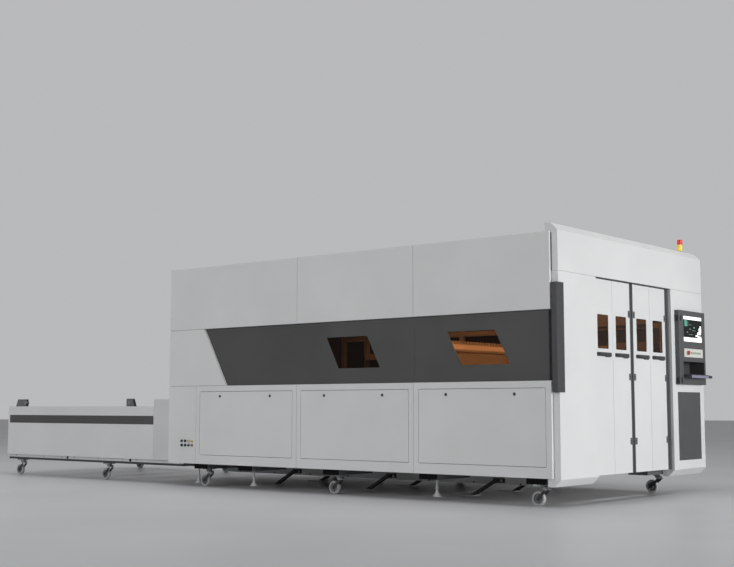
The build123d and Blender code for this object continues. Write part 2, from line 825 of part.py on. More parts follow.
# Console: a folded cover on the far leg, with a screen, a button plate and a keyboard nook
console_face = front_face.offset(console_depth)
button_row = button_plate_bottom + button_plate_height / 2
estop_place = (button_plate_near_edge + 68, button_row)
button_places = [(estop_place[0] + 85 + i * button_pitch, button_row) for i in range(button_count)]
button_clearance = 0.3
nook_outline = flat(nook_near_edge, nook_far_edge, nook_bottom, nook_top)

with BuildPart() as console_housing:
    cover_outline = flat(console_near_edge, console_near_edge + console_width, console_bottom, console_top)
    add(folded_sheet(console_face, cover_outline, console_depth, openings=[nook_outline],
                     wall=console_sheet))
    with BuildSketch(console_face):
        add(flat(screen_near_edge, screen_near_edge + screen_width, screen_bottom,
                 screen_bottom + screen_height))
        with Locations(*button_places):
            Circle(button_radius + button_clearance)
        with Locations(estop_place):
            Circle(estop_radius / 2 + button_clearance)
    extrude(amount=-console_sheet, mode=Mode.SUBTRACT)
    with BuildSketch(front_face):
        offset(nook_outline, amount=nook_wall, kind=Kind.INTERSECTION, mode=Mode.ADD)
    extrude(amount=-(nook_depth - console_depth + nook_wall))
    with BuildSketch(console_face):
        add(nook_outline)
    extrude(amount=-nook_depth, mode=Mode.SUBTRACT)
    outer_rim = console_housing.faces().sort_by(Axis.X)[-1].outer_wire().edges()
    chamfer(outer_rim, length=console_sheet * 0.8)
console_housing.part.label = "console_housing"

with BuildPart() as console_screen:
    with BuildSketch(console_face.offset(-console_sheet)):
        add(flat(screen_near_edge - 8, screen_near_edge + screen_width + 8, screen_bottom - 8,
                 screen_bottom + screen_height + 8))
    extrude(amount=-24)
    with BuildSketch(console_face.offset(-console_sheet)):
        add(flat(screen_near_edge + 0.3, screen_near_edge + screen_width - 0.3, screen_bottom + 0.3,
                 screen_bottom + screen_height - 0.3))
    extrude(amount=1.5)
console_screen.part.label = "console_screen"

with BuildPart() as button_plate:
    plate_thickness = 2
    bezel_height = 5
    bezel_radius = button_radius + 3.5
    with BuildSketch(console_face):
        add(flat(button_plate_near_edge, button_plate_near_edge + button_plate_width, button_plate_bottom,
                 button_plate_bottom + button_plate_height))
    extrude(amount=plate_thickness)
    with BuildSketch(console_face.offset(plate_thickness)):
        with Locations(*button_places):
            Circle(bezel_radius)
        with Locations(estop_place):
            Circle(estop_radius / 2 + 5)
    extrude(amount=bezel_height)
    with BuildSketch(console_face):
        with Locations(*button_places):
            Circle(button_radius + button_clearance)
        with Locations(estop_place):
            Circle(estop_radius / 2 + button_clearance)
    extrude(amount=plate_thickness + bezel_height, mode=Mode.SUBTRACT)
button_plate.part.label = "button_plate"

button_parts = {}
button_face = plate_thickness + bezel_height + button_travel + 0.5
for number, (y, z) in enumerate(button_places, start=1):
    with BuildPart() as push_button:
        with BuildSketch(console_face.offset(button_face)):
            with Locations((y, z)):
                Circle(button_radius)
        extrude(amount=-(button_face + console_sheet + 5))
        chamfer(push_button.faces().sort_by(Axis.X)[-1].edges(), length=1)
    button_parts[f"push_button_{number}"] = push_button.part

with BuildPart() as estop_button:
    y, z = estop_place
    stem = estop_radius / 2
    seat = plate_thickness + bezel_height + estop_travel + 1
    with BuildSketch(Plane(origin=(x_front + console_depth, y, z), x_dir=(1, 0, 0), z_dir=(0, 1, 0))):
        with BuildLine():
            Polyline((-12, 0), (-12, stem), (seat, stem), (seat, estop_radius), (seat + 9, estop_radius),
                     (seat + 13, estop_radius - 5), (seat + 14, 0), close=True)
        make_face()
    revolve(axis=Axis((x_front, y, z), (1, 0, 0)))
estop_button.part.label = "estop_button"

with BuildPart() as keyboard_tray:
    tray_floor = nook_bottom + tray_clearance
    tray_low, tray_high = nook_near_edge + tray_clearance, nook_far_edge - tray_clearance
    x_tip = x_front + tray_reach
    with BuildSketch(section_plane(tray_low)):
        with BuildLine():
            Polyline((x_tip - tray_length, tray_floor), (x_tip - 3, tray_floor), (x_tip - 3, tray_floor - 12),
                     (x_tip, tray_floor - 12), (x_tip, tray_floor + 14), (x_tip - 3, tray_floor + 14),
                     (x_tip - 3, tray_floor + 3), (x_tip - tray_length, tray_floor + 3), close=True)
        make_face()
    extrude(amount=-(tray_high - tray_low))
    for y in (tray_low, tray_high - 3):
        add(bar(x_tip - tray_length, x_tip, y, y + 3, tray_floor, tray_floor + 14))
keyboard_tray.part.label = "keyboard_tray"

with BuildPart() as cabinet_panel:
    with BuildSketch(front_face):
        add(flat(cabinet_near_edge, cabinet_near_edge + cabinet_width, cabinet_bottom,
                 cabinet_bottom + cabinet_height, 3))
    extrude(amount=3)
    chamfer(cabinet_panel.faces().sort_by(Axis.X)[-1].edges(), length=1)
cabinet_panel.part.label = "cabinet_panel"

# Signal lamp on the header: a base, an amber ring and a red dome
lamp_inset = 262
lamp_place = (x_portal_back + 31, portal_half - lamp_inset)
lamp_sections = (("base", 20, 0, 16), ("amber", 22, 16, 76), ("red", 26.5, 76, 128))

lamp_solids = []
for name, radius, low, high in lamp_sections:
    with BuildPart() as lamp_section:
        with BuildSketch(Plane.XY.offset(portal_top + low)):
            with Locations(lamp_place):
                Circle(radius)
        extrude(amount=high - low)
        if name == "red":
            chamfer(lamp_section.faces().sort_by(Axis.Z)[-1].edges(), length=8)
    lamp_solids.append(lamp_section.part.solid())
signal_lamp = Compound(children=lamp_solids)

# Junction housing over the rails between the table and the enclosure
with BuildPart() as junction_housing:
    with BuildSketch(Plane(origin=(x_table_front + 1, 0, 0), x_dir=(0, 1, 0), z_dir=(1, 0, 0))):
        add(flat(core_offset - table_half, core_offset + table_half, table_bottom, junction_top))
        add(flat(core_offset - table_half + sheet, core_offset + table_half - sheet, table_bottom - 1,
                 junction_top - sheet), mode=Mode.SUBTRACT)
    extrude(amount=junction_length - 1)
    with BuildSketch(Plane(origin=(x_table_front + 1, 0, 0), x_dir=(0, 1, 0), z_dir=(1, 0, 0))):
        add(flat(core_offset - table_half + sheet, core_offset + table_half - sheet, table_bottom,
                 junction_top - sheet))
        add(flat(core_offset - rail_gauge - 50, core_offset + rail_gauge + 50, table_bottom - 1,
                 junction_top - 24), mode=Mode.SUBTRACT)
    extrude(amount=sheet)
junction_housing.part.label = "junction_housing"

# Exchange table: welded frame with white covers on three sides
table_post = 50
table_rail_width = 80
table_rail_top = table_bottom + 3
table_frame_top = table_top - 37
table_stations = [x_table_rear + 30 + table_post / 2 + i * (table_length - 30 - table_post) / 4 for i in range(5)]
cover_depth = table_half - rail_gauge - table_post

table_tubes = []
for side in (-1, 1):
    inner, outer = core_offset + side * rail_gauge, core_offset + side * (rail_gauge + table_post)
    low, high = min(inner, outer), max(inner, outer)
    rail_inner = outer - side * table_rail_width
    table_tubes.append(bar(x_table_rear + 5, x_base_rear, min(rail_inner, outer), max(rail_inner, outer),
                           table_rail_bottom, table_rail_top))
    table_tubes.append(bar(table_stations[0] - table_post / 2, table_stations[-1] + table_post / 2, low, high,
                           table_frame_top - table_post, table_frame_top))
    for x in table_stations:
        table_tubes.append(bar(x - table_post / 2, x + table_post / 2, low, high, table_rail_top,
                               table_frame_top - table_post))
    for x in table_caster_stations:
        middle = core_offset + side * table_caster_row
        table_tubes.append(bar(x - 60, x + 60, middle - 40, middle + 40, caster_height, table_rail_bottom))
cross_half = rail_gauge + table_post - table_rail_width
for x in table_stations:
    table_tubes.append(bar(x - 30, x + 30, core_offset - cross_half, core_offset + cross_half, table_rail_bottom,
                           table_rail_top))
table_frame = Compound(children=[tube.solid() for tube in table_tubes])

with BuildPart() as table_panels:
    for side in (-1, 1):
        turn = (1, 0, 0) if side < 0 else (-1, 0, 0)
        cover_face = Plane(origin=(0, core_offset + side * table_half, 0), x_dir=turn, z_dir=(0, side, 0))
        ends = sorted((-side * x_table_rear, -side * x_table_front))
        add(folded_sheet(cover_face, flat(ends[0], ends[1], table_bottom, table_top), cover_depth))
    end_face = Plane(origin=(x_table_rear, 0, 0), x_dir=(0, -1, 0), z_dir=(-1, 0, 0))
    end_half = table_half - cover_depth - 1
    add(folded_sheet(end_face, flat(-core_offset - end_half, -core_offset + end_half, table_bottom + 4, table_top),
                     30))
table_panels.part.label = "table_panels"

# Guide brackets that stand above the table's near edge, each with a steel roller
bracket_height = table_top + 86 - table_frame_top
bracket_places = ((x_table_rear + 78, 226, 60, 0, 214), (x_table_front - 507, 150, 0, 50, 56))
bracket_sheet = 6
bracket_gap = 24
bracket_row = rail_gauge + 25

with BuildPart() as guide_brackets:
    middle = core_offset - bracket_row
    for x, length, lean_rear, lean_front, roller in bracket_places:
        for cheek in (-1, 1):
            start = middle + cheek * bracket_gap / 2 - (bracket_sheet if cheek < 0 else 0)
            with BuildSketch(section_plane(start)):
                with BuildLine():
                    Polyline((x, table_frame_top), (x + length, table_frame_top),
                             (x + length - lean_front, table_frame_top + bracket_height),
                             (x + lean_rear, table_frame_top + bracket_height), close=True)
                make_face()
            extrude(amount=-bracket_sheet)
        with BuildSketch(section_plane(middle - bracket_gap / 2 - bracket_sheet - 4)):
            with Locations((x + roller, table_frame_top + bracket_height - 44)):
                Circle(20)
        extrude(amount=-(bracket_gap + 2 * bracket_sheet + 8))
guide_brackets.part.label = "guide_brackets"

# Pallet rails at two levels, from the table through the junction into the enclosure
x_pallet = x_table_rear + pallet_start
x_rail_front = x_pallet + pallet_length + exchange_travel + 60
x_rail_rear = table_stations[0] - table_post / 2

with BuildPart() as pallet_rails:
    for side in (-1, 1):
        for top in rail_levels:
            face = core_offset + side * rail_gauge
            leg = face - side * rail_leg
            web = face - side * rail_sheet
            add(bar(x_rail_rear, x_rail_front, min(face, leg), max(face, leg), top - rail_sheet, top))
            add(bar(x_rail_rear, x_rail_front, min(face, web), max(face, web), top - rail_leg, top))
pallet_rails.part.label = "pallet_rails"

# Pallets: a welded frame on rollers, with toothed slats dropped into its side beams
slat_count = int((pallet_length - 100) // slat_pitch) + 1
tooth_count = 12
tooth_depth = 24
pallet_half = pallet_width / 2


def slat_outline(bottom):
    """A slat seen along X, with a row of teeth along its top."""
    half = pallet_half - 4
    width = 2 * half / tooth_count
    top = bottom + slat_height
    with BuildSketch() as outline:
        with BuildLine():
            points = [(core_offset - half, bottom)]
            for i in range(tooth_count):
                points.append((core_offset - half + i * width, top - tooth_depth))
                points.append((core_offset - half + (i + 0.5) * width, top))
            points += [(core_offset + half, top - tooth_depth), (core_offset + half, bottom)]
            Polyline(*points, close=True)
        make_face()
    return outline.sketch


def pallet(x0, rail_top, dog_height):
    """One pallet with its slats; dog_height is the chain run that its arms reach for."""
    bottom = rail_top + 5
    slat_seat = bottom + pallet_beam_height - 30
    slat_starts = [x0 + 50 + i * slat_pitch for i in range(slat_count)]
    solids = []
    for side in (-1, 1):
        outer = core_offset + side * pallet_half
        inner = outer - side * pallet_beam
        slot_stop = outer - side * 3
        with BuildPart() as side_beam:
            add(bar(x0, x0 + pallet_length, min(inner, outer), max(inner, outer), bottom,
                    bottom + pallet_beam_height))
            with BuildSketch(Plane.XY.offset(slat_seat)):
                for x in slat_starts:
                    add(flat(x - slat_clearance, x + slat_thickness + slat_clearance, min(inner, slot_stop),
                             max(inner, slot_stop)))
            extrude(amount=40, mode=Mode.SUBTRACT)
            for i in range(4):
                x = x0 + 120 + i * (pallet_length - 240) / 3
                for start, radius, reach in ((0, 9, 8), (8, roller_radius, 28)):
                    with BuildSketch(Plane(origin=(x, outer + side * start, rail_top + roller_radius + 0.3),
                                           x_dir=(1, 0, 0), z_dir=(0, side, 0))):
                        Circle(radius)
                    extrude(amount=reach)
            arm_root = outer - side * 15
            tip = core_offset + side * (chain_gauge - chain_width / 2 - 0.3)
            low, high = dog_height - 7, dog_height + 7
            if high < bottom:
                add(bar(x0 + 200, x0 + 240, min(arm_root, outer), max(arm_root, outer), low, bottom))
            add(bar(x0 + 200, x0 + 240, min(outer, tip), max(outer, tip), low, high))
        solids.append(side_beam.part.solid())
    clear_half = pallet_half - pallet_beam
    for i in range(pallet_bays + 1):
        x = x0 + i * (pallet_length - pallet_beam) / pallet_bays
        cross_beam = bar(x, x + pallet_beam, core_offset - clear_half, core_offset + clear_half, bottom, slat_seat)
        solids.append(cross_beam.solid())
    for x in slat_starts:
        with BuildPart() as slat:
            with BuildSketch(Plane(origin=(x, 0, 0), x_dir=(0, 1, 0), z_dir=(1, 0, 0))):
                add(slat_outline(slat_seat))
            extrude(amount=slat_thickness)
        solids.append(slat.part.solid())
    return Compound(children=solids)


upper_pallet = pallet(x_pallet, rail_levels[0], chain_height + chain_radius)
lower_pallet = pallet(x_pallet + exchange_travel, rail_levels[1], chain_height - chain_radius)

# Chain drive: two long loops round sprockets on the rear shaft and shoes at the front
x_drive = x_table_rear + drive_setback
x_nose = x_rail_front - 20
sprocket_radius = chain_radius - chain_thickness / 2 - 0.3


def chain_loop(grow):
    """The outline of one chain loop, seen along Y."""
    with BuildSketch() as loop:
        with Locations(((x_drive + x_nose) / 2, chain_height)):
            SlotCenterToCenter(x_nose - x_drive, 2 * (chain_radius + grow))
    return loop.sketch


with BuildPart() as drive_chains:
    for side in (-1, 1):
        with BuildSketch(section_plane(core_offset + side * chain_gauge - chain_width / 2)):
            add(chain_loop(chain_thickness / 2))
            add(chain_loop(-chain_thickness / 2), mode=Mode.SUBTRACT)
            with Locations((x_nose, chain_height)):
                Circle(chain_radius - chain_thickness / 2 + 1)
            with Locations((x_nose, chain_height)):
                Circle(14, mode=Mode.SUBTRACT)
        extrude(amount=-chain_width)
drive_chains.part.label = "drive_chains"

with BuildPart() as drive_shaft:
    shaft_half = chain_gauge + chain_width / 2
    with BuildSketch(section_plane(core_offset - shaft_half)):
        with Locations((x_drive, chain_height)):
            Circle(shaft_radius)
    extrude(amount=-2 * shaft_half)
    for side in (-1, 1):
        for radius, width in ((sprocket_radius, chain_width - 2), (30, 34)):
            with BuildSketch(section_plane(core_offset + side * chain_gauge - width / 2 - side * (width - 14) / 2)):
                with Locations((x_drive, chain_height)):
                    Circle(radius)
            extrude(amount=-width)
drive_shaft.part.label = "drive_shaft"

# Gear motor on the rear shaft, carried by a bracket on the table's bottom cross member
motor_y = core_offset + 300
gearbox_half = 60

with BuildPart() as exchange_motor:
    add(bar(x_drive - 55, x_drive + 48, motor_y - gearbox_half, motor_y + gearbox_half, chain_height - 50,
            chain_height + 55))
    with BuildSketch(Plane.XY.offset(330)):
        with Locations((x_drive - 4, motor_y)):
            Circle(48)
    extrude(amount=chain_height - 50 - 330)
    add(bar(x_drive - 35, x_drive - 5, motor_y - gearbox_half - 12, motor_y - gearbox_half, table_rail_top,
            chain_height + 40))
    with BuildSketch(section_plane(motor_y - gearbox_half - 20)):
        with Locations((x_drive, chain_height)):
            Circle(shaft_radius + pivot_clearance)
    extrude(amount=-3 * gearbox_half, mode=Mode.SUBTRACT)
exchange_motor.part.label = "exchange_motor"

# Scrap trays on the base, below the pallets
bed_leg = 120
tray_height = 120
tray_margin = 70
tray_wall = 3

with BuildPart() as scrap_trays:
    tray_near = -y_frame + post + 20
    tray_far = core_offset + bed_gauge - bed_beam_width / 2 - 20
    for left, right in lower_spans:
        tray_front = min(right - tray_margin, x_portal_back - post - 60 - bed_leg - 20)
        add(folded_sheet(Plane(origin=(0, 0, base_top), x_dir=(1, 0, 0), z_dir=(0, 0, -1)),
                         flat(left + tray_margin, tray_front, -tray_far, -tray_near),
                         tray_height, wall=tray_wall))
scrap_trays.part.label = "scrap_trays"

# Bed: a side frame each side, with legs at the cross beams and a gantry rail on top
bed_rear = x_base_rear + post + 2
bed_front = x_portal_back - post - 60

with BuildPart() as gantry_bed:
    for side in (-1, 1):
        middle = core_offset + side * bed_gauge
        low, high = middle - bed_beam_width / 2, middle + bed_beam_width / 2
        with BuildSketch(section_plane(low)):
            add(flat(bed_rear, bed_front, bed_beam_bottom, bed_beam_top))
            for x in (bed_rear + bed_leg / 2, *cross_stations[1:-1], bed_front - bed_leg / 2):
                add(flat(x - bed_leg / 2, x + bed_leg / 2, base_top, bed_beam_bottom))
        extrude(amount=-bed_beam_width)
        add(bar(bed_rear, bed_front, middle - rail_width / 2, middle + rail_width / 2, bed_beam_top,
                bed_beam_top + rail_height))
gantry_bed.part.label = "gantry_bed"

# Gantry: a box beam on two saddles, with cross rails and a cable carrier
x_gantry = x_front - gantry_front
saddle_length = 400
saddle_width = 120
beam_overhang = 70
cross_rail_levels = (gantry_bottom + 40, gantry_bottom + gantry_height - 60)
carrier_links = 34
carrier_pitch = 52

with BuildPart() as gantry_beam:
    beam_half = bed_gauge + beam_overhang
    add(bar(x_gantry - gantry_depth, x_gantry, core_offset - beam_half, core_offset + beam_half, gantry_bottom,
            gantry_bottom + gantry_height))
    chamfer(gantry_beam.edges().filter_by(Axis.Y), length=18)
    for side in (-1, 1):
        middle = core_offset + side * bed_gauge
        x_saddle = x_gantry - gantry_depth / 2
        with BuildSketch(Plane(origin=(x_saddle - saddle_length / 2, 0, 0), x_dir=(0, 1, 0), z_dir=(1, 0, 0))):
            add(flat(middle - saddle_width / 2, middle + saddle_width / 2, bed_beam_top + 2, gantry_bottom))
            add(flat(middle - rail_width / 2 - slide_clearance, middle + rail_width / 2 + slide_clearance,
                     bed_beam_top, bed_beam_top + rail_height + slide_clearance), mode=Mode.SUBTRACT)
        extrude(amount=saddle_length)
    for z in cross_rail_levels:
        add(bar(x_gantry, x_gantry + cross_rail, core_offset - bed_gauge + 20, core_offset + bed_gauge - 20, z,
                z + cross_rail))
    carrier_start = core_offset - carrier_links * carrier_pitch / 2
    with BuildSketch(Plane(origin=(x_gantry - 110, 0, 0), x_dir=(0, 1, 0), z_dir=(1, 0, 0))):
        add(flat(carrier_start, carrier_start + carrier_links * carrier_pitch, gantry_bottom + gantry_height,
                 gantry_bottom + gantry_height + 22))
        for i in range(carrier_links):
            y = carrier_start + i * carrier_pitch
            add(flat(y + 6, y + carrier_pitch - 10, gantry_bottom + gantry_height + 22,
                     gantry_bottom + gantry_height + 44))
    extrude(amount=70)
gantry_beam.part.label = "gantry_beam"

# Cross carriage on the gantry's front face, and the head that moves up and down on it
y_head = core_offset + bed_gauge - head_parking
carriage_half = 120
x_carriage = x_gantry + cross_rail + slide_clearance
x_head_guide = x_carriage + 90

with BuildPart() as cross_carriage:
    with BuildSketch(section_plane(y_head - carriage_half)):
        add(flat(x_carriage, x_carriage + 25, gantry_bottom + 15, gantry_bottom + gantry_height - 15))
        for z in cross_rail_levels:
            add(flat(x_gantry + 2, x_carriage, z - 12, z + cross_rail + 12))
            add(flat(x_gantry, x_carriage, z - slide_clearance, z + cross_rail + slide_clearance),
                mode=Mode.SUBTRACT)
    extrude(amount=-2 * carriage_half)
    with BuildSketch(Plane.XY.offset(gantry_bottom - 20)):
        add(flat(x_carriage + 25, x_head_guide, y_head - 80, y_head + 80))
    extrude(amount=gantry_height + 130)
    with BuildSketch(Plane.XY.offset(gantry_bottom + gantry_height + 110)):
        add(flat(x_carriage + 20, x_head_guide - 6, y_head - 34, y_head + 34, 6))
    extrude(amount=80)
cross_carriage.part.label = "cross_carriage"

with BuildPart() as cutting_head:
    head_bottom = head_nozzle_height + 150
    head_plane = Plane.XY.offset(head_bottom)
    x_head = x_head_guide + tray_clearance + 45
    with BuildSketch(head_plane):
        add(flat(x_head_guide + tray_clearance, x_head + 45, y_head - 48, y_head + 48, 8))
    extrude(amount=210)
    with BuildSketch(Plane(origin=(x_head, y_head, head_nozzle_height), x_dir=(1, 0, 0), z_dir=(0, -1, 0))):
        with BuildLine():
            Polyline((0, 0), (3, 0), (12, 18), (12, 30), (24, 36), (24, 70), (34, 74), (34, 150), (0, 150),
                     close=True)
        make_face()
    revolve(axis=Axis((x_head, y_head, 0), (0, 0, 1)))
    with BuildSketch(Plane.XY.offset(head_bottom + 210)):
        with Locations((x_head, y_head)):
            Circle(26)
    extrude(amount=90)
cutting_head.part.label = "cutting_head"

parts = {
    "base_frame": base_frame.part,
    "floor_braces": floor_braces,
    "levelling_feet": levelling_feet,
    "caster_forks": caster_forks,
    "caster_wheels": caster_wheels,
    "enclosure_frame": enclosure_frame,
    "near_upper_panels": near_upper_panels.part,
    "near_lower_panels": near_lower_panels.part,
    "hose_connectors": hose_connectors,
    "near_band": near_band.part,
    "side_windows": side_windows.part,
    "far_panels": far_panels.part,
    "rear_wall": rear_wall.part,
    "roof_panels": roof_panels.part,
    "portal_legs": portal_legs.part,
    "portal_header": portal_header.part,
    "corner_trim": corner_trim.part,
    "door_frame": door_frame,
    "console_housing": console_housing.part,
    "console_screen": console_screen.part,
    "button_plate": button_plate.part,
    "estop_button": estop_button.part,
    "keyboard_tray": keyboard_tray.part,
    "cabinet_panel": cabinet_panel.part,
    "signal_lamp": signal_lamp,
    "junction_housing": junction_housing.part,
    "table_frame": table_frame,
    "table_panels": table_panels.part,
    "guide_brackets": guide_brackets.part,
    "pallet_rails": pallet_rails.part,
    "upper_pallet": upper_pallet,
    "lower_pallet": lower_pallet,
    "drive_chains": drive_chains.part,
    "drive_shaft": drive_shaft.part,
    "exchange_motor": exchange_motor.part,
    "scrap_trays": scrap_trays.part,
    "gantry_bed": gantry_bed.part,
    "gantry_beam": gantry_beam.part,
    "cross_carriage": cross_carriage.part,
    "cutting_head": cutting_head.part,
}
parts.update(leaf_parts)
parts.update(access_parts)
parts.update(button_parts)

os.makedirs("parts", exist_ok=True)
for name, shape in parts.items():
    shape.label = name
    export_step(shape, f"parts/{name}.step")
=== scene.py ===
from math import cos, pi, radians, sin

import bmesh
import bpy
from mathutils import Matrix, Vector


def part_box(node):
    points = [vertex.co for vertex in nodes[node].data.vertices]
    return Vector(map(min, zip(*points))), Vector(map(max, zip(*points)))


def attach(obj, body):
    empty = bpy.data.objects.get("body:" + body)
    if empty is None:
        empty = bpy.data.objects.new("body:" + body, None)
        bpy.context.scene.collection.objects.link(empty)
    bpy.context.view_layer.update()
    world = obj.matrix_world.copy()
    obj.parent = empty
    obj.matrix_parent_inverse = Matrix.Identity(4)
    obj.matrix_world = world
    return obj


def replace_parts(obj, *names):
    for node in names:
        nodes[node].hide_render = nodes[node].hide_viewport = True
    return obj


# Enclosed sheet cutter with an exchange table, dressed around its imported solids.
# Everything is in metres in the frame of the solids: +X to the folding door, -Y the
# long service side, +Z up, with the origin on the floor under the middle.
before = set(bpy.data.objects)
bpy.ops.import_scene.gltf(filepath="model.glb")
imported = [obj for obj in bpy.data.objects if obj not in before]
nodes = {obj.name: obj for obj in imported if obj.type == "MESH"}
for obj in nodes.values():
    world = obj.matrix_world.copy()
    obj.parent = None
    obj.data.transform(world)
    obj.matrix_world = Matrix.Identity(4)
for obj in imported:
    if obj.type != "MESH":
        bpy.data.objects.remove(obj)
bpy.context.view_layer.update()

FRONT, REAR, FAR, NEAR = (1, 0, 0), (-1, 0, 0), (0, 1, 0), (0, -1, 0)
UP, DOWN = (0, 0, 1), (0, 0, -1)
header_low, header_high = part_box("portal_header")
X_FRONT = header_high.x
X_LEAF_FACE = X_FRONT - 0.026    # outer face of the folding door
Y_CORE = -0.25    # the line that the casters, feet and chains are mirrored about
PAD_TOP = 0.2345    # where the pads end and the ladder frame starts
HINGE_LEVELS, HINGE_HALF = (0.515, 1.09, 1.657), 0.031


# Materials

def srgb(code):
    """An sRGB hex value as the linear colour that the shaders take."""
    channels = [int(code[i:i + 2], 16) / 255 for i in (1, 3, 5)]
    return (*(c / 12.92 if c <= 0.04045 else ((c + 0.055) / 1.055) ** 2.4 for c in channels), 1.0)


def add_node(tree, kind, inputs=None, **settings):
    """A node with its settings; an input is a plain value or another node's output socket."""
    made = tree.nodes.new(kind)
    for key, value in settings.items():
        setattr(made, key, value)
    for key, value in (inputs or {}).items():
        if isinstance(value, bpy.types.NodeSocket):
            tree.links.new(value, made.inputs[key])
        else:
            made.inputs[key].default_value = value
    return made


def start_material(name, colour, roughness, metallic=0.0, **extra):
    """A material with a Principled shader whose plain numbers sit on its own sockets."""
    material = bpy.data.materials.new(name)
    material.use_nodes = True
    tree = material.node_tree
    shader = tree.nodes["Principled BSDF"]
    plain = {"Base Color": srgb(colour), "Roughness": roughness, "Metallic": metallic, **extra}
    for key, value in plain.items():
        shader.inputs[key.replace("_", " ")].default_value = value
    material.diffuse_color = srgb(colour)
    return material, tree, shader


def object_point(tree, scale=(1, 1, 1)):
    """The point on the piece in metres, stretched where a grain runs one way."""
    place = add_node(tree, "ShaderNodeTexCoord")
    return add_node(tree, "ShaderNodeMapping", {
        "Vector": place.outputs["Object"], "Scale": scale}).outputs[0]


def mottle(tree, shader, colours, size_mm, detail=3.0, scale=(1, 1, 1)):
    """Slow drift between two or three tones, for colour that is never quite even."""
    noise = add_node(tree, "ShaderNodeTexNoise", {
        "Vector": object_point(tree, scale), "Scale": 1000 / size_mm, "Detail": detail,
        "Roughness": 0.55})
    ramp = add_node(tree, "ShaderNodeValToRGB", {"Fac": noise.outputs["Fac"]})
    for end, position, colour in ((0, 0.35, colours[0]), (1, 0.65, colours[-1])):
        ramp.color_ramp.elements[end].position = position
        ramp.color_ramp.elements[end].color = srgb(colour)
    if len(colours) == 3:
        ramp.color_ramp.elements.new(0.5).color = srgb(colours[1])
    tree.links.new(ramp.outputs["Color"], shader.inputs["Base Color"])


def rough_range(tree, shader, low, high, size_mm, scale=(1, 1, 1)):
    """Roughness that wanders between two limits."""
    noise = add_node(tree, "ShaderNodeTexNoise", {
        "Vector": object_point(tree, scale), "Scale": 1000 / size_mm, "Detail": 2.0})
    spread = add_node(tree, "ShaderNodeMapRange", {
        "Value": noise.outputs["Fac"], "From Min": 0.3, "From Max": 0.7, "To Min": low,
        "To Max": high})
    tree.links.new(spread.outputs["Result"], shader.inputs["Roughness"])


def relief(tree, shader, size_mm, distance_mm, strength=0.4, detail=2.0, scale=(1, 1, 1)):
    """Orange peel, cast skin or grain as a bump of one size."""
    noise = add_node(tree, "ShaderNodeTexNoise", {
        "Vector": object_point(tree, scale), "Scale": 1000 / size_mm, "Detail": detail})
    bump = add_node(tree, "ShaderNodeBump", {
        "Height": noise.outputs["Fac"], "Distance": distance_mm / 1000, "Strength": strength})
    tree.links.new(bump.outputs["Normal"], shader.inputs["Normal"])


def split_by_place(tree, shader, axis, levels, colours):
    """One colour up to each level along an axis, for solids that are painted in zones."""
    place = add_node(tree, "ShaderNodeSeparateXYZ", {"Vector": object_point(tree)})
    colour = srgb(colours[0])
    for level, colour_above in zip(levels, colours[1:]):
        above = add_node(tree, "ShaderNodeMath", {0: place.outputs[axis], 1: level},
                         operation="GREATER_THAN")
        colour = add_node(tree, "ShaderNodeMix", {
            "Factor": above.outputs[0], 6: colour, 7: srgb(colour_above)},
            data_type="RGBA").outputs[2]
    tree.links.new(colour, shader.inputs["Base Color"])


def surface(name, colour, roughness, metallic=0.0, tones=None, zones=None, wander=None,
            grain=None, **extra):
    """A material with patterns: tones are the settings of mottle, zones of split_by_place,
    wander of rough_range and grain of relief."""
    material, tree, shader = start_material(name, colour, roughness, metallic, **extra)
    for pattern, settings in ((mottle, tones), (split_by_place, zones), (rough_range, wander),
                              (relief, grain)):
        if settings:
            pattern(tree, shader, *settings)
    return material


# Orange peel is really 1 to 2 mm across and spark-eroded grain about 0.1 mm. They are drawn at
# 9 mm and 2 mm so that they show at all. The numbers are size and height in mm, and strength.
ORANGE_PEEL, MOULD_GRAIN = (9, 0.05, 0.25), (2, 0.04, 0.3)


def powder_coat(name, tones, roughness):
    """Polyester powder baked on sheet steel: soft gloss and fine orange peel."""
    return surface(name, tones[-1], roughness, tones=(tones, 900),
                   wander=(roughness - 0.05, roughness + 0.05, 350), grain=ORANGE_PEEL)


def moulded(name, tone, roughness=0.45):
    """Moulded plastic or rubber, or a die casting: one even colour with the mould's fine grain."""
    return surface(name, tone, roughness, wander=(roughness - 0.06, roughness + 0.08, 40),
                   grain=MOULD_GRAIN)


def brushed_metal(name, tones, roughness, stretch):
    """Metal with a drawn or ground grain along one axis; stretch shortens its scale there."""
    return surface(name, tones[0], roughness, 1.0, tones=(tones, 60, 4.0, stretch),
                   wander=(roughness - 0.08, roughness + 0.1, 25, stretch),
                   grain=(3, 0.02, 0.2, 2.0, stretch))


def lined_coat(name, axis, level, colours):
    """The white powder coat of a wall, with painted shade: its inner face is coloured near black.
    """
    return surface(name, "#E6E7E7", 0.42, zones=(axis, (level,), colours),
                   wander=(0.37, 0.5, 350), grain=ORANGE_PEEL)


def lens_plastic(name, tone, glow):
    """Dyed polycarbonate over a lamp: saturated and glossy, with a little light of its own."""
    return surface(name, tone, 0.22, IOR=1.585, Emission_Color=srgb(tone),
                   Emission_Strength=glow)


def glowing(name, tone, strength):
    """Part of a lit display or lamp: its own light, behind a front glass whose anti-glare coat
    brings its IOR from 1.5 down to 1.2."""
    return surface(name, tone, 0.2, IOR=1.2, Emission_Color=srgb(tone),
                   Emission_Strength=strength)


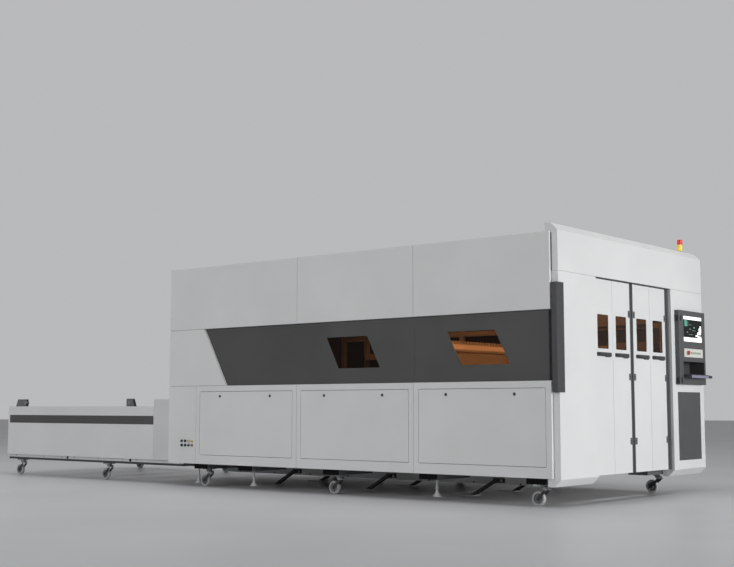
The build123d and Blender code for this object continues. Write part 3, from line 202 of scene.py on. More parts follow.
white_coat = powder_coat("signal_white_powder_coat", ("#DFE1E1", "#E6E7E7"), 0.42)
# Junction housing: the white coat is greyed as painted shade, standing in for the shadow of the
# enclosure beside it
housing_coat = powder_coat("white_housing_coat_with_painted_shade", ("#D3D5D5", "#DADCDC"), 0.42)
band_coat = powder_coat("graphite_powder_coat", ("#3E403E", "#454745"), 0.48)
console_coat = powder_coat("iron_grey_powder_coat", ("#4A4B4C", "#525354"), 0.46)
stripe_film = powder_coat("matt_graphite_film", ("#464646", "#4B4B4B"), 0.5)
trunk_steel = powder_coat("pebble_grey_powder_coat", ("#8F8D88", "#A09E99"), 0.45)
gantry_coat = powder_coat("light_grey_powder_coat", ("#8E8F8E", "#9A9B9A"), 0.4)
fork_coat = powder_coat("black_electrocoat", ("#1A1B1C", "#222324"), 0.4)
bracket_coat = powder_coat("mid_grey_powder_coat", ("#626364", "#6C6D6E"), 0.45)
beam_coat = powder_coat("pale_beam_enamel", ("#C9CBCB", "#D4D6D6"), 0.5)
rack_coat = powder_coat("pale_rack_enamel", ("#D8D4CC", "#E4E0D8"), 0.4)
plate_coat = powder_coat("pale_grey_button_plate", ("#D8D6D0", "#E2E0DA"), 0.4)

trim_abs = moulded("black_grained_abs", "#3F4041", 0.5)
black_abs = moulded("jet_black_abs", "#161617")
lamp_grey = moulded("pale_grey_abs", "#B8B8B4", 0.4)
stop_red = moulded("red_glossy_abs", "#B3142A", 0.25)
dark_hardware = moulded("black_coated_die_cast_zinc", "#3D3E3F", 0.42)
cast_zinc = moulded("dull_zinc_casting", "#9A9C9D", 0.5)
foot_zinc = moulded("galvanised_foot_casting", "#CDCFCF", 0.5)
wheel_core = moulded("grey_nylon_wheel_core", "#7B7D7F", 0.5)
coupling_yellow = moulded("yellow_acetal", "#CDBE86", 0.4)
coupling_red = moulded("red_acetal", "#96696C", 0.4)
coupling_violet = moulded("violet_acetal", "#5B4A66", 0.4)
seal_rubber = moulded("black_epdm_rubber", "#0B0B0B", 0.75)

lamp_red = lens_plastic("red_polycarbonate_lens", "#D21F14", 0.25)
lamp_amber = lens_plastic("yellow_polycarbonate_lens", "#F2C81B", 0.3)
button_green = lens_plastic("green_polycarbonate_cap", "#3F8A4E", 0.1)
screen_black = glowing("display_black", "#050807", 0.0)
screen_white = glowing("display_white", "#F4F6F5", 0.75)
screen_green = glowing("display_green", "#4E8F7C", 0.6)
screen_grey = glowing("display_grey", "#6F7B78", 0.35)
led_diffuser = glowing("opal_led_diffuser", "#FFF6E6", 2.0)

# Walls, white outside; near black painted shade on the inside, starting one sheet's thickness below
# the outer face
OUTSIDE, INNER_PAINTED_SHADE, SKIN = "#E2E4E4", "#171615", 0.0017
far_low, far_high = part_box("far_panels")
rear_low, rear_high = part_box("rear_wall")
roof_low, roof_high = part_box("roof_panels")
far_coat = lined_coat("far_wall_coat_painted_shade_inside", "Y", far_high.y - SKIN, (INNER_PAINTED_SHADE, OUTSIDE))
rear_coat = lined_coat("rear_wall_coat_painted_shade_inside", "X", rear_low.x + SKIN, (OUTSIDE, INNER_PAINTED_SHADE))
roof_coat = lined_coat("roof_coat_painted_shade_inside", "Z", roof_high.z - SKIN, (INNER_PAINTED_SHADE, OUTSIDE))

# Door hardware: black coated zinc, with the hinge leaves a shade lighter on the outer face
hardware_coat, tree, shader = start_material("black_zinc_with_grey_hinge_leaves", "#3D3E3F", 0.42)
place = add_node(tree, "ShaderNodeSeparateXYZ", {"Vector": object_point(tree)})
at_hinge = 0.0
for level in HINGE_LEVELS:
    here = add_node(tree, "ShaderNodeMath", {0: place.outputs["Z"], 1: level, 2: HINGE_HALF},
                    operation="COMPARE")
    at_hinge = add_node(tree, "ShaderNodeMath", {0: at_hinge, 1: here.outputs[0]},
                        operation="MAXIMUM").outputs[0]
proud = add_node(tree, "ShaderNodeMath", {0: place.outputs["X"], 1: X_LEAF_FACE + 0.0003},
                 operation="GREATER_THAN")
on_plate = add_node(tree, "ShaderNodeMath", {0: at_hinge, 1: proud.outputs[0]},
                    operation="MULTIPLY")
tone = add_node(tree, "ShaderNodeMix", {
    "Factor": on_plate.outputs[0], 6: srgb("#3D3E3F"), 7: srgb("#4D4E4F")}, data_type="RGBA")
tree.links.new(tone.outputs[2], shader.inputs["Base Color"])
relief(tree, shader, *MOULD_GRAIN)
rough_range(tree, shader, 0.36, 0.5, 40)

# Keyboard tray: blue-grey sheet with a dark end cap, and a dark mat at the far end
tray_low, tray_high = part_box("keyboard_tray")
tray_coat = surface(
    "blue_grey_tray_coat_with_dark_ends", "#86849A", 0.42,
    zones=("Y", (tray_low.y + 0.003, tray_high.y - 0.085), ("#333438", "#86849A", "#333438")),
    wander=(0.36, 0.5, 120), grain=ORANGE_PEEL)

# Ladder frame: grey satin enamel, thick and wavy, with painted shade on the pads under it, which
# are coloured darker
frame_paint = surface(
    "grey_frame_enamel_with_painted_shade_on_pads", "#8E9091", 0.5, zones=("Z", (PAD_TOP,), ("#5E6062", "#8E9091")),
    wander=(0.42, 0.6, 200), grain=(14, 0.15, 0.35))

# Inner steelwork: the same enamel, sprayed a little unevenly
inner_paint = surface("grey_inner_frame_enamel", "#7C7E7F", 0.5,
                      tones=(("#6E7071", "#828485"), 400), grain=(14, 0.15, 0.3))

# Exchange table's frame: a dark lower edge, a pale rail and grey enamel above it
table_paint = surface(
    "dark_table_enamel", "#2F3132", 0.5,
    zones=("Z", (0.214, 0.262), ("#333536", "#D2D4D4", "#57595A")), grain=(14, 0.12, 0.3))

# Floor braces: black flat bars between galvanised floor plates and pale upper ends
brace_paint = surface(
    "black_brace_enamel_on_zinc_plates", "#141415", 0.45,
    zones=("Z", (0.0065, 0.172), ("#B9BBBA", "#151516", "#CFD1D1")), grain=(6, 0.1, 0.3))

# Rubber on the ends of the pads: dead black, so dusty that it reflects less than IOR 1.5 gives
pad_rubber = surface("dusty_black_pad_rubber", "#060606", 0.85, grain=(3, 0.1, 0.4), IOR=1.25)

# Bright zinc plate with the faint blue-yellow drift of its passivation
zinc = surface("passivated_zinc_plate", "#A5A7A8", 0.42, 1.0,
               tones=(("#9DA0A4", "#ADACA6"), 30, 4.0), wander=(0.34, 0.5, 20))

# Slats and trays: hot-rolled steel with blue-brown scale and burnt edges
mill_scale = surface(
    "hot_rolled_steel_scale", "#4A4541", 0.55, 0.8,
    tones=(("#3A3634", "#554E48", "#6A6058"), 70, 6.0), wander=(0.4, 0.7, 30),
    grain=(8, 0.2, 0.4, 4.0))

ground_steel = brushed_metal("ground_bearing_steel", ("#9FA1A2", "#B4B6B7"), 0.25, (1, 0.04, 1))
drawn_aluminium = brushed_metal("drawn_anodised_aluminium", ("#8E9092", "#A3A5A6"), 0.35,
                                (1, 0.05, 1))

# Roller chain: oiled black oxide, nearly smooth
oiled_chain = surface("oiled_black_oxide_chain", "#2A2826", 0.3, 0.9,
                      tones=(("#1E1C1B", "#3A3633"), 12, 4.0))

# Motor and gearbox housings: cast iron skin under grey-blue enamel
cast_enamel = surface("enamelled_cast_iron", "#54595E", 0.45, tones=(("#4C5156", "#5C6166"), 120),
                      grain=(5, 0.35, 0.5, 4.0))

# Cast acrylic that stops laser light: deep amber, polished. Its anti-glare coat reflects about
# a quarter of what bare acrylic of IOR 1.49 does, which IOR 1.17 gives.
amber = surface("amber_laser_acrylic", "#B77645", 0.03, grain=(220, 0.15, 0.08), IOR=1.17,
                Transmission_Weight=1.0)

# Wheel treads: grey elastomer, softly matt, with a fine moulded grain
tread = surface("grey_elastomer_tread", "#B4B5B5", 0.5, tones=(("#A8A9A9", "#BDBEBE"), 25),
                grain=(3, 0.1, 0.4))


def numbered(pattern, count):
    """Names that differ in a number, from 1 up."""
    return [pattern.format(number) for number in range(1, count + 1)]


finishes = {
    white_coat: ("near_upper_panels", "near_lower_panels", "portal_legs", "portal_header",
                 "table_panels", *numbered("leaf_{}", 4), *numbered("access_door_{}", 3)),
    housing_coat: ("junction_housing",),
    far_coat: ("far_panels",),
    rear_coat: ("rear_wall",),
    roof_coat: ("roof_panels",),
    band_coat: ("near_band",),
    console_coat: ("console_housing", "cabinet_panel", "door_frame"),
    tray_coat: ("keyboard_tray",),
    hardware_coat: numbered("leaf_{}_hardware", 4),
    trim_abs: ("corner_trim",),
    frame_paint: ("base_frame",),
    inner_paint: ("enclosure_frame", "gantry_bed"),
    table_paint: ("table_frame",),
    brace_paint: ("floor_braces",),
    foot_zinc: ("levelling_feet",),
    fork_coat: ("caster_forks",),
    bracket_coat: ("guide_brackets",),
    mill_scale: ("upper_pallet", "lower_pallet", "pallet_rails", "scrap_trays"),
    ground_steel: ("drive_shaft",),
    oiled_chain: ("drive_chains",),
    cast_enamel: ("exchange_motor",),
    gantry_coat: ("gantry_beam",),
    drawn_aluminium: ("cross_carriage",),
    black_abs: ("cutting_head", "console_screen"),
    plate_coat: ("button_plate",),
    stop_red: ("estop_button",),
    amber: ("side_windows", *numbered("leaf_{}_window", 4)),
    button_green: numbered("push_button_{}", 5),
}
for material, names in finishes.items():
    for name in names:
        nodes[name].data.materials.clear()
        nodes[name].data.materials.append(material)


# Mesh pieces

def in_scene(name, data):
    """A new object in the scene."""
    made = bpy.data.objects.new(name, data)
    bpy.context.scene.collection.objects.link(made)
    return made


def mesh_from(name, bm):
    """A built form as a mesh."""
    mesh = bpy.data.meshes.new(name)
    bm.to_mesh(mesh)
    bm.free()
    return mesh


def piece(name, bm, materials, body="machine", smooth=False):
    """A finished mesh that rides on a body, with its place in its vertices."""
    bmesh.ops.recalc_face_normals(bm, faces=bm.faces)
    mesh = mesh_from(name, bm)
    for material in materials if isinstance(materials, list) else [materials]:
        mesh.materials.append(material)
    if smooth:
        mesh.shade_smooth()
        mesh.set_sharp_from_angle(angle=radians(35))
    made = in_scene(name, mesh)
    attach(made, body)
    return made


def add_block(bm, low, high, material=0, bevel=0.0):
    """A block between two corners, with small bevels where asked."""
    low, high = Vector(low), Vector(high)
    made = bmesh.ops.create_cube(bm, size=1.0)["verts"]
    for v in made:
        v.co = Vector(low[i] + (v.co[i] + 0.5) * (high[i] - low[i]) for i in range(3))
    faces = {f for v in made for f in v.link_faces}
    if bevel:
        edges = dict.fromkeys(e for v in made for e in v.link_edges)
        bevelled = bmesh.ops.bevel(bm, geom=list(edges), offset=bevel, segments=2, profile=0.5,
                                   affect="EDGES")["faces"]
        faces = {f for f in faces if f.is_valid} | set(bevelled)
    for f in faces:
        f.material_index = material
    return faces


def add_turned(bm, origin, axis, profile, segments=32, material=0):
    """A turned form: profile is (distance along axis, radius) pairs; a radius of 0 closes it."""
    origin, axis = Vector(origin), Vector(axis).normalized()
    side = axis.orthogonal().normalized()
    rings = []
    for along, radius in profile:
        turns = [Matrix.Rotation(2 * pi * i / segments, 3, axis)
                 for i in range(segments if radius else 1)]
        rings.append([bm.verts.new(origin + axis * along + turn @ side * radius)
                      for turn in turns])
    for a, b in zip(rings, rings[1:]):
        for i in range(segments):
            j = (i + 1) % segments
            corners = (a[i % len(a)], a[j % len(a)], b[j % len(b)], b[i % len(b)])
            bm.faces.new(list(dict.fromkeys(corners))).material_index = material


def add_bolt(bm, place, axis, radius, side, height, top):
    """A hexagon head whose side is straight and then runs in to the radius of its top."""
    add_turned(bm, place, axis, (
        (0, 0), (0, radius), (side, radius), (height, top), (height, 0)), 6)


def add_pin(bm, place, axis, length, radius, segments, tip=None):
    """A round pin with flat ends, tapered where its tip has its own radius."""
    add_turned(bm, place, axis, ((0, 0), (0, radius), (length, tip or radius), (length, 0)),
               segments)


def close_rings(bm, low_ring, high_ring):
    """A closed form between two rings of the same number of vertices."""
    bm.faces.new(low_ring)
    bm.faces.new(high_ring)
    for i in range(len(low_ring)):
        j = (i + 1) % len(low_ring)
        bm.faces.new((low_ring[i], low_ring[j], high_ring[j], high_ring[i]))


def add_slab(bm, outline, x, y, first, last):
    """A flat form in the XZ plane, its outline swept along Y from first to last."""
    close_rings(bm, *([bm.verts.new((x + px, y + depth, pz)) for px, pz in outline]
                      for depth in (first, last)))


# Stripe on the table's covers
STRIPE_LOW, STRIPE_HIGH, STRIPE_START, FILM = 0.629, 0.723, 0.033, 0.0006
table_low, table_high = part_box("table_panels")
for label, y_face, outward in (("near", table_low.y, -1), ("far", table_high.y, 1)):
    y_first, y_last = sorted((y_face, y_face + outward * FILM))
    bm = bmesh.new()
    add_block(bm, (table_low.x + STRIPE_START, y_first, STRIPE_LOW),
              (table_high.x - 0.002, y_last, STRIPE_HIGH))
    piece(f"table_stripe_{label}", bm, stripe_film)

# Black catches and small bolts on the rail below the table's covers
CATCH_X, CATCH_DEPTH = (-2.841, -1.707), 0.01
RAIL_BOLT_X, RAIL_BOLT_Z = (-3.86, -3.31, -2.95, -2.72, -2.27, -1.84, -1.61), 0.232
rail_low, rail_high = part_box("table_frame")
bm = bmesh.new()
for x in CATCH_X:
    add_block(bm, (x - 0.012, rail_low.y - CATCH_DEPTH, 0.217), (x + 0.012, rail_low.y, 0.246),
              bevel=0.002)
    add_pin(bm, (x, rail_low.y - CATCH_DEPTH, 0.226), NEAR, 0.004, 0.006, 12, tip=0.005)
piece("table_cover_catches", bm, black_abs)
bm = bmesh.new()
for x in RAIL_BOLT_X:
    add_bolt(bm, (x, rail_low.y, RAIL_BOLT_Z), NEAR, 0.0075, 0.004, 0.006, 0.005)
piece("table_rail_bolts", bm, zinc)

# Painted shadow: a black strip in the black rubber's material fills the recessed gap between the
# band and the corner trim
GAP_SHADOW_PLAY = 0.0005
band_low, band_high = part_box("near_band")
bm = bmesh.new()
add_block(bm, (band_high.x + GAP_SHADOW_PLAY, band_low.y + 0.004, band_low.z),
          (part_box("corner_trim")[0].x - GAP_SHADOW_PLAY, band_low.y + 0.0065, band_high.z), bevel=0.001)
piece("band_end_seal", bm, seal_rubber)

# Bulb seal between the end of the side panels and the header
SEAL_FOOT, BULB_RADIUS = 0.001, 0.002
side_low, side_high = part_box("near_upper_panels")
seal_bottom, seal_top = header_low.z + 0.003, side_high.z - 0.006
bm = bmesh.new()
add_block(bm, (side_high.x + 0.0002, header_low.y - 0.0085, seal_bottom),
          (side_high.x + SEAL_FOOT, header_low.y - 0.002, seal_top), bevel=0.0004)
add_pin(bm, (side_high.x + SEAL_FOOT + BULB_RADIUS, header_low.y - 0.0025, seal_bottom), UP,
        seal_top - seal_bottom, BULB_RADIUS, 16)
piece("header_edge_seal", bm, seal_rubber)

# Caster wheels: elastomer tread on a nylon core, in place of the plain solids
CASTER_ROWS = {1.035: (-0.4235, 1.3565, 3.6065), 0.940: (-3.8235, -2.1735)}
WHEEL_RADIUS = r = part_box("caster_wheels")[1].z / 2
SPOKES = 6
tread_profile = (
    (-0.0165, r - 0.017), (-0.0175, r - 0.006), (-0.013, r - 0.0015), (-0.006, r), (0.006, r),
    (0.013, r - 0.0015), (0.0175, r - 0.006), (0.0165, r - 0.017), (-0.0165, r - 0.017))
core_profile = (
    (-0.0155, r - 0.0172), (-0.0155, r - 0.022), (-0.007, r - 0.027), (-0.007, 0.024),
    (-0.017, 0.019), (-0.017, 0.0095), (0.017, 0.0095), (0.017, 0.019), (0.007, 0.024),
    (0.007, r - 0.027), (0.0155, r - 0.022), (0.0155, r - 0.0172), (-0.0155, r - 0.0172))
hub_profile = ((-0.0185, 0), (-0.0185, 0.0085), (0.0185, 0.0085), (0.0185, 0))
wheel_places = [(x, Y_CORE + side * row) for row, xs in CASTER_ROWS.items() for x in xs
                for side in (-1, 1)]
treads, cores, hubs = bmesh.new(), bmesh.new(), bmesh.new()
for x, y in wheel_places:
    centre = (x, y, WHEEL_RADIUS)
    add_turned(treads, centre, FAR, tread_profile, 40)
    add_turned(cores, centre, FAR, core_profile, 32)
    for spoke in range(SPOKES):
        turn = Matrix.Translation(centre) @ Matrix.Rotation(spoke * 2 * pi / SPOKES, 4, "Y")
        made = add_block(cores, (-0.0025, -0.0135, 0.02), (0.0025, 0.0135, r - 0.024))
        bmesh.ops.transform(cores, matrix=turn, verts=list({v for f in made for v in f.verts}))
    add_turned(hubs, centre, FAR, hub_profile, 20)
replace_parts(piece("caster_treads", treads, tread, smooth=True), "caster_wheels")
piece("caster_wheel_cores", cores, wheel_core)
piece("caster_bearing_tubes", hubs, zinc)

# Caster forks: a zinc plate and swivel crown, two slim black arms and a grey brake pedal
TRAIL, CROWN, PLATE_BOTTOM, PLATE_TOP = 0.048, 0.163, 0.1792, 0.1848
ARM_INNER, ARM_OUTER, YOKE_INNER, YOKE_OUTER = 0.0222, 0.0258, 0.0214, 0.0266
arm_outline = [(0.016, 0.14), (0.041, 0.14), (0.041, 0.128), (-0.036, 0.0555),
               (-0.0405, 0.0475), (-0.048, 0.0445), (-0.0555, 0.0475), (-0.06, 0.0555),
               (-0.0605, 0.066), (-0.053, 0.076)]
yoke_outline = [(-0.01, CROWN), (0.042, CROWN), (0.043, 0.1335), (0.01, 0.1335)]
pedal_outline = [(0.028, CROWN - 0.003), (0.0285, CROWN - 0.012), (0.055, CROWN - 0.029),
                 (0.063, CROWN - 0.0245), (0.043, CROWN - 0.004)]
crown_profile = ((0, 0), (0, 0.029), (0.003, 0.0315), (0.0135, 0.0315), (0.0162, 0.028),
                 (0.0162, 0))
plates, arms, pedals = bmesh.new(), bmesh.new(), bmesh.new()
for wheel_x, y in wheel_places:
    x = wheel_x + TRAIL
    add_block(plates, (x - 0.055, y - 0.045, PLATE_BOTTOM), (x + 0.055, y + 0.045, PLATE_TOP),
              bevel=0.0015)
    add_turned(plates, (x, y, CROWN), UP, crown_profile, 28)
    for dx in (-0.042, 0.042):
        for dy in (-0.033, 0.033):
            add_bolt(plates, (x + dx, y + dy, PLATE_BOTTOM), DOWN, 0.0065, 0.004, 0.005, 0.005)
    for side in (-1, 1):
        add_slab(arms, arm_outline, x, y, side * ARM_INNER, side * ARM_OUTER)
        add_slab(plates, yoke_outline, x, y, side * YOKE_INNER, side * YOKE_OUTER)
        add_bolt(arms, (x - TRAIL, y + side * ARM_OUTER, WHEEL_RADIUS), (0, side, 0), 0.011,
                 0.0025, 0.0035, 0.008)
    add_block(plates, (x - 0.012, y - YOKE_OUTER, CROWN - 0.0035),
              (x + 0.042, y + YOKE_OUTER, CROWN + 0.0002))
    add_slab(pedals, pedal_outline, x, y, -0.0145, 0.0145)
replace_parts(piece("caster_arms", arms, fork_coat), "caster_forks")
piece("caster_swivel_plates", plates, cast_zinc, smooth=True)
piece("caster_brake_pedals", pedals, cast_zinc)

# Lock nuts half way up the stems of the levelling feet
FOOT_X, FOOT_ROW, STEM_RADIUS = (-0.5455, 0.2645, 2.5445), 1.02, 0.009
nut_profile = ((0, STEM_RADIUS), (0, 0.0135), (0.0015, 0.015), (0.0095, 0.015), (0.011, 0.0135),
               (0.011, STEM_RADIUS))
washer_profile = ((0, STEM_RADIUS), (0, 0.0175), (0.003, 0.0175), (0.003, STEM_RADIUS))
bm = bmesh.new()
for side in (-1, 1):
    for x in FOOT_X:
        add_turned(bm, (x, Y_CORE + side * FOOT_ROW, 0.104), UP, nut_profile, 6)
        add_turned(bm, (x, Y_CORE + side * FOOT_ROW, 0.1005), UP, washer_profile, 24)
piece("foot_lock_nuts", bm, foot_zinc)

# Tie bars between the table's rails and the base
FIRST_PAD, BAR_WIDTH = -0.4755, 0.04
bm = bmesh.new()
for y in (rail_low.y + 0.004, rail_high.y - 0.044):
    add_block(bm, (rail_high.x - 0.004, y, 0.196), (FIRST_PAD + 0.001, y + BAR_WIDTH, 0.2325),
              bevel=0.002)
    for x in (rail_high.x + 0.05, -0.88, FIRST_PAD - 0.05):
        add_bolt(bm, (x, y, 0.2145), NEAR, 0.0065, 0.004, 0.0055, 0.0045)
piece("table_tie_bars", bm, fork_coat)

# Rubber on the near ends of the pads
PAD_X, PAD_HALF, PAD_END = (-0.3755, 0.2645, 1.4045, 2.5445, 3.6545), 0.0995, -1.4
bm = bmesh.new()
for x in PAD_X:
    add_block(bm, (x - PAD_HALF, PAD_END - 0.0015, 0.1855),
              (x + PAD_HALF, PAD_END + 0.0005, 0.2342), bevel=0.0004)
piece("pad_end_rubbers", bm, pad_rubber)

# Lower beam that the near floor braces bolt to, with slotted heads and splice plates
BEAM_START, BEAM_END, BEAM_BOTTOM = -0.829, 3.12, 0.11
BRACE_X, HEAD_START, HEAD_END = (-0.0455, 1.2195, 2.4845), 0.205, 0.33
BEAM_BOLTS, BEAM_BOLT_START, BEAM_BOLT_STEP = 8, -0.62, 0.515
inner, outer = Y_CORE - 0.256, Y_CORE - 0.334
plate = outer - 0.006
beams, heads, bolts = bmesh.new(), bmesh.new(), bmesh.new()
add_block(beams, (BEAM_START, outer, BEAM_BOTTOM), (BEAM_END, inner, PAD_TOP), bevel=0.004)
for x in BRACE_X:
    add_block(beams, (x + 0.35, plate, 0.116), (x + 0.366, outer, 0.226), bevel=0.001)
    for low, high in ((0.126, 0.134), (0.162, 0.17)):
        add_block(heads, (x + HEAD_START, plate, low), (x + HEAD_END, outer, high), bevel=0.001)
    for first, last in ((HEAD_START, 0.232), (0.262, 0.276), (0.306, HEAD_END)):
        add_block(heads, (x + first, plate, 0.1335), (x + last, outer, 0.1625))
    for dx in (0.218, 0.318):
        add_bolt(bolts, (x + dx, plate, 0.148), NEAR, 0.0105, 0.005, 0.006, 0.008)
for i in range(BEAM_BOLTS):
    add_bolt(bolts, (BEAM_BOLT_START + i * BEAM_BOLT_STEP, outer, 0.1225), NEAR, 0.0085, 0.0045,
             0.0055, 0.006)
piece("lower_beam", beams, beam_coat)
piece("brace_heads", heads, fork_coat)
piece("lower_beam_bolts", bolts, fork_coat)

# Bright rings on the rollers of the guide brackets
ROLLER_X, ROLLER_Z = (-3.7175, -1.7495), 0.869
ring_profile = ((-0.003, 0.012), (0.0015, 0.012), (0.003, 0.0135), (0.003, 0.0185),
                (0.0015, 0.0205), (-0.003, 0.0205), (-0.003, 0.012))
y_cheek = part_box("guide_brackets")[0].y
bm = bmesh.new()
for x in ROLLER_X:
    add_turned(bm, (x, y_cheek, ROLLER_Z), NEAR, ring_profile, 32)
    add_pin(bm, (x, y_cheek, ROLLER_Z), NEAR, 0.003, 0.006, 6)
piece("guide_roller_rings", bm, ground_steel, smooth=True)

# Signal lamp: threaded foot, ribbed amber section and red dome, in place of the plain stack
lamp_low, lamp_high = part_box("signal_lamp")
lamp_foot = ((lamp_low.x + lamp_high.x) / 2, (lamp_low.y + lamp_high.y) / 2, lamp_low.z)
LAMP_FOOT, LAMP_JOINT, LAMP_TOP = 0.016, 0.076, lamp_high.z - lamp_low.z


def ribbed(low, high, radius, ribs):
    """A lens wall with shallow rings."""
    rows = [(low, radius * 0.9), (low, radius)]
    step = (high - low) / ribs
    for i in range(ribs):
        rows += [(low + step * (i + 0.2), radius), (low + step * (i + 0.5), radius * 0.965),
                 (low + step * (i + 0.8), radius)]
    return rows + [(high, radius)]


bm = bmesh.new()
add_turned(bm, lamp_foot, UP, ((0, 0), (0, 0.02), (LAMP_FOOT - 0.003, 0.02),
                               (LAMP_FOOT, 0.018), (LAMP_FOOT, 0)))
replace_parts(piece("lamp_foot", bm, lamp_grey, smooth=True), "signal_lamp")
bm = bmesh.new()
add_turned(bm, lamp_foot, UP, [
    (LAMP_FOOT, 0), *ribbed(LAMP_FOOT, LAMP_JOINT, 0.022, 6), (LAMP_JOINT, 0)], 40)
piece("lamp_amber_lens", bm, lamp_amber, smooth=True)
bm = bmesh.new()
add_turned(bm, lamp_foot, UP, [
    (LAMP_JOINT, 0), *ribbed(LAMP_JOINT, LAMP_TOP - 0.01, 0.0263, 4), (LAMP_TOP - 0.004, 0.023),
    (LAMP_TOP - 0.001, 0.016), (LAMP_TOP, 0)], 40)
piece("lamp_red_lens", bm, lamp_red, smooth=True)

# Hose couplings in the rear column, coloured by circuit, in place of the plain solids
COUPLING_EDGE, COUPLING_ROW = 0.017, 0.044
coupling_profile = (
    (-0.022, 0), (-0.022, 0.0095), (0, 0.0095), (0, 0.0138), (0.0045, 0.0138), (0.005, 0.012),
    (0.009, 0.0125), (0.0135, 0.012), (0.0155, 0.009), (0.0155, 0.006), (0.004, 0.006), (0.004, 0))
coupling_low, coupling_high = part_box("hose_connectors")
pitch_x = (coupling_high.x - coupling_low.x - 2 * COUPLING_EDGE) / 3
couplings = {"black": black_abs, "yellow": coupling_yellow, "red": coupling_red,
             "violet": coupling_violet}
circuit = (("black", "black", "yellow", "yellow"), ("black", "black", "violet", "red"))
for colour, material in couplings.items():
    bm = bmesh.new()
    for row, colours in enumerate(circuit):
        for column, here in enumerate(colours):
            if here == colour:
                add_turned(bm, (coupling_low.x + COUPLING_EDGE + column * pitch_x, side_low.y,
                                coupling_high.z - COUPLING_EDGE - row * COUPLING_ROW),
                           NEAR, coupling_profile, 28)
    made = piece(f"{colour}_couplings", bm, material, smooth=True)
    if colour == "black":
        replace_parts(made, "hose_connectors")

# Display on the console: generic panes and bars behind the glass
VIEW_HALF, VIEW_LOW, VIEW_HIGH = 0.2042, 1.4523, 1.6977
GROUND_PROUD, PANE_PROUD = 0.0002, 0.00032
screen_low, screen_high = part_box("console_screen")
view_y = (screen_low.y + screen_high.y) / 2 - VIEW_HALF
panes = (    # two corners, as shares of the view's width and height, and a tone
    (0, 0, 1, 1, 0), (0, 0.87, 1, 1, 1), (0, 0, 1, 0.165, 1),
    (0.06, 0.6, 0.2, 0.84, 2), (0.23, 0.62, 0.26, 0.8, 3), (0.3, 0.66, 0.44, 0.68, 3),
    (0.32, 0.48, 0.4, 0.52, 3), (0.46, 0.44, 0.66, 0.46, 3), (0.28, 0.28, 0.52, 0.3, 3),
    (0.18, 0.34, 0.24, 0.4, 3), (0.55, 0.54, 0.62, 0.6, 2), (0.84, 0.4, 0.98, 0.56, 1),
    (0.76, 0.3, 0.96, 0.4, 1), (0.66, 0.22, 0.82, 0.28, 1), (0.78, 0.17, 0.98, 0.24, 1),
    (0.9, 0.56, 0.97, 0.66, 1),
)
width, height = 2 * VIEW_HALF, VIEW_HIGH - VIEW_LOW
bm = bmesh.new()
for order, (a, c, b, d, tone) in enumerate(panes):
    proud = PANE_PROUD if order else GROUND_PROUD
    add_block(bm, (screen_high.x, view_y + a * width, VIEW_LOW + c * height),
              (screen_high.x + proud, view_y + b * width, VIEW_LOW + d * height), tone)
piece("console_display", bm, [screen_black, screen_white, screen_green, screen_grey])

# Console hinges on the door side, and the two latches beside them
console_low, console_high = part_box("console_housing")
bm = bmesh.new()
for z in (1.672, 1.075):
    add_block(bm, (X_FRONT + 0.012, console_low.y - 0.006, z - 0.028),
              (X_FRONT + 0.036, console_low.y + 0.001, z + 0.028), bevel=0.002)
    add_block(bm, (console_high.x, console_low.y + 0.028, z - 0.024),
              (console_high.x + 0.0045, console_low.y + 0.05, z + 0.024), bevel=0.0015)
piece("console_hinges", bm, black_abs)

# Locks on the access doors: dark cams with a slot, over the plain ones
CAM_Z, CAM_IN_FIRST, CAM_IN_LAST = 0.929, 0.297, 0.298
cam_profile = ((-0.002, 0.0138), (0.0006, 0.0138), (0.0012, 0.012), (0.0012, 0.0085),
               (0.0002, 0.0078), (0.0002, 0))
for door in numbered("access_door_{}", 3):
    door_low, door_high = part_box(door)
    bm = bmesh.new()
    for x in (door_low.x + CAM_IN_FIRST, door_high.x - CAM_IN_LAST):
        add_turned(bm, (x, door_low.y, CAM_Z), NEAR, cam_profile, 28)
        add_block(bm, (x - 0.0015, door_low.y - 0.0016, CAM_Z - 0.007),
                  (x + 0.0015, door_low.y, CAM_Z + 0.007), 1)
    piece(f"{door}_locks", bm, [dark_hardware, black_abs], door, smooth=True)

# Countersunk screws in the outer hinge leaves of the folding door
hinge_screw = ((-0.001, 0), (-0.001, 0.0046), (0.0002, 0.0046), (0.0005, 0.004),
               (0.0005, 0.0022), (-0.0004, 0.0019), (-0.0004, 0))
for leaf, pin_y, way in ((4, 0.6605, -1), (3, -0.0635, 1), (2, -0.0635, -1)):
    bm = bmesh.new()
    for level in HINGE_LEVELS:
        for reach in (0.02, 0.052):
            for rise in (-0.018, 0.018):
                add_turned(bm, (X_LEAF_FACE + 0.0025, pin_y + way * reach, level + rise), FRONT,
                           hinge_screw, 16)
    piece(f"leaf_{leaf}_hinge_screws", bm, zinc, f"leaf_{leaf}", smooth=True)

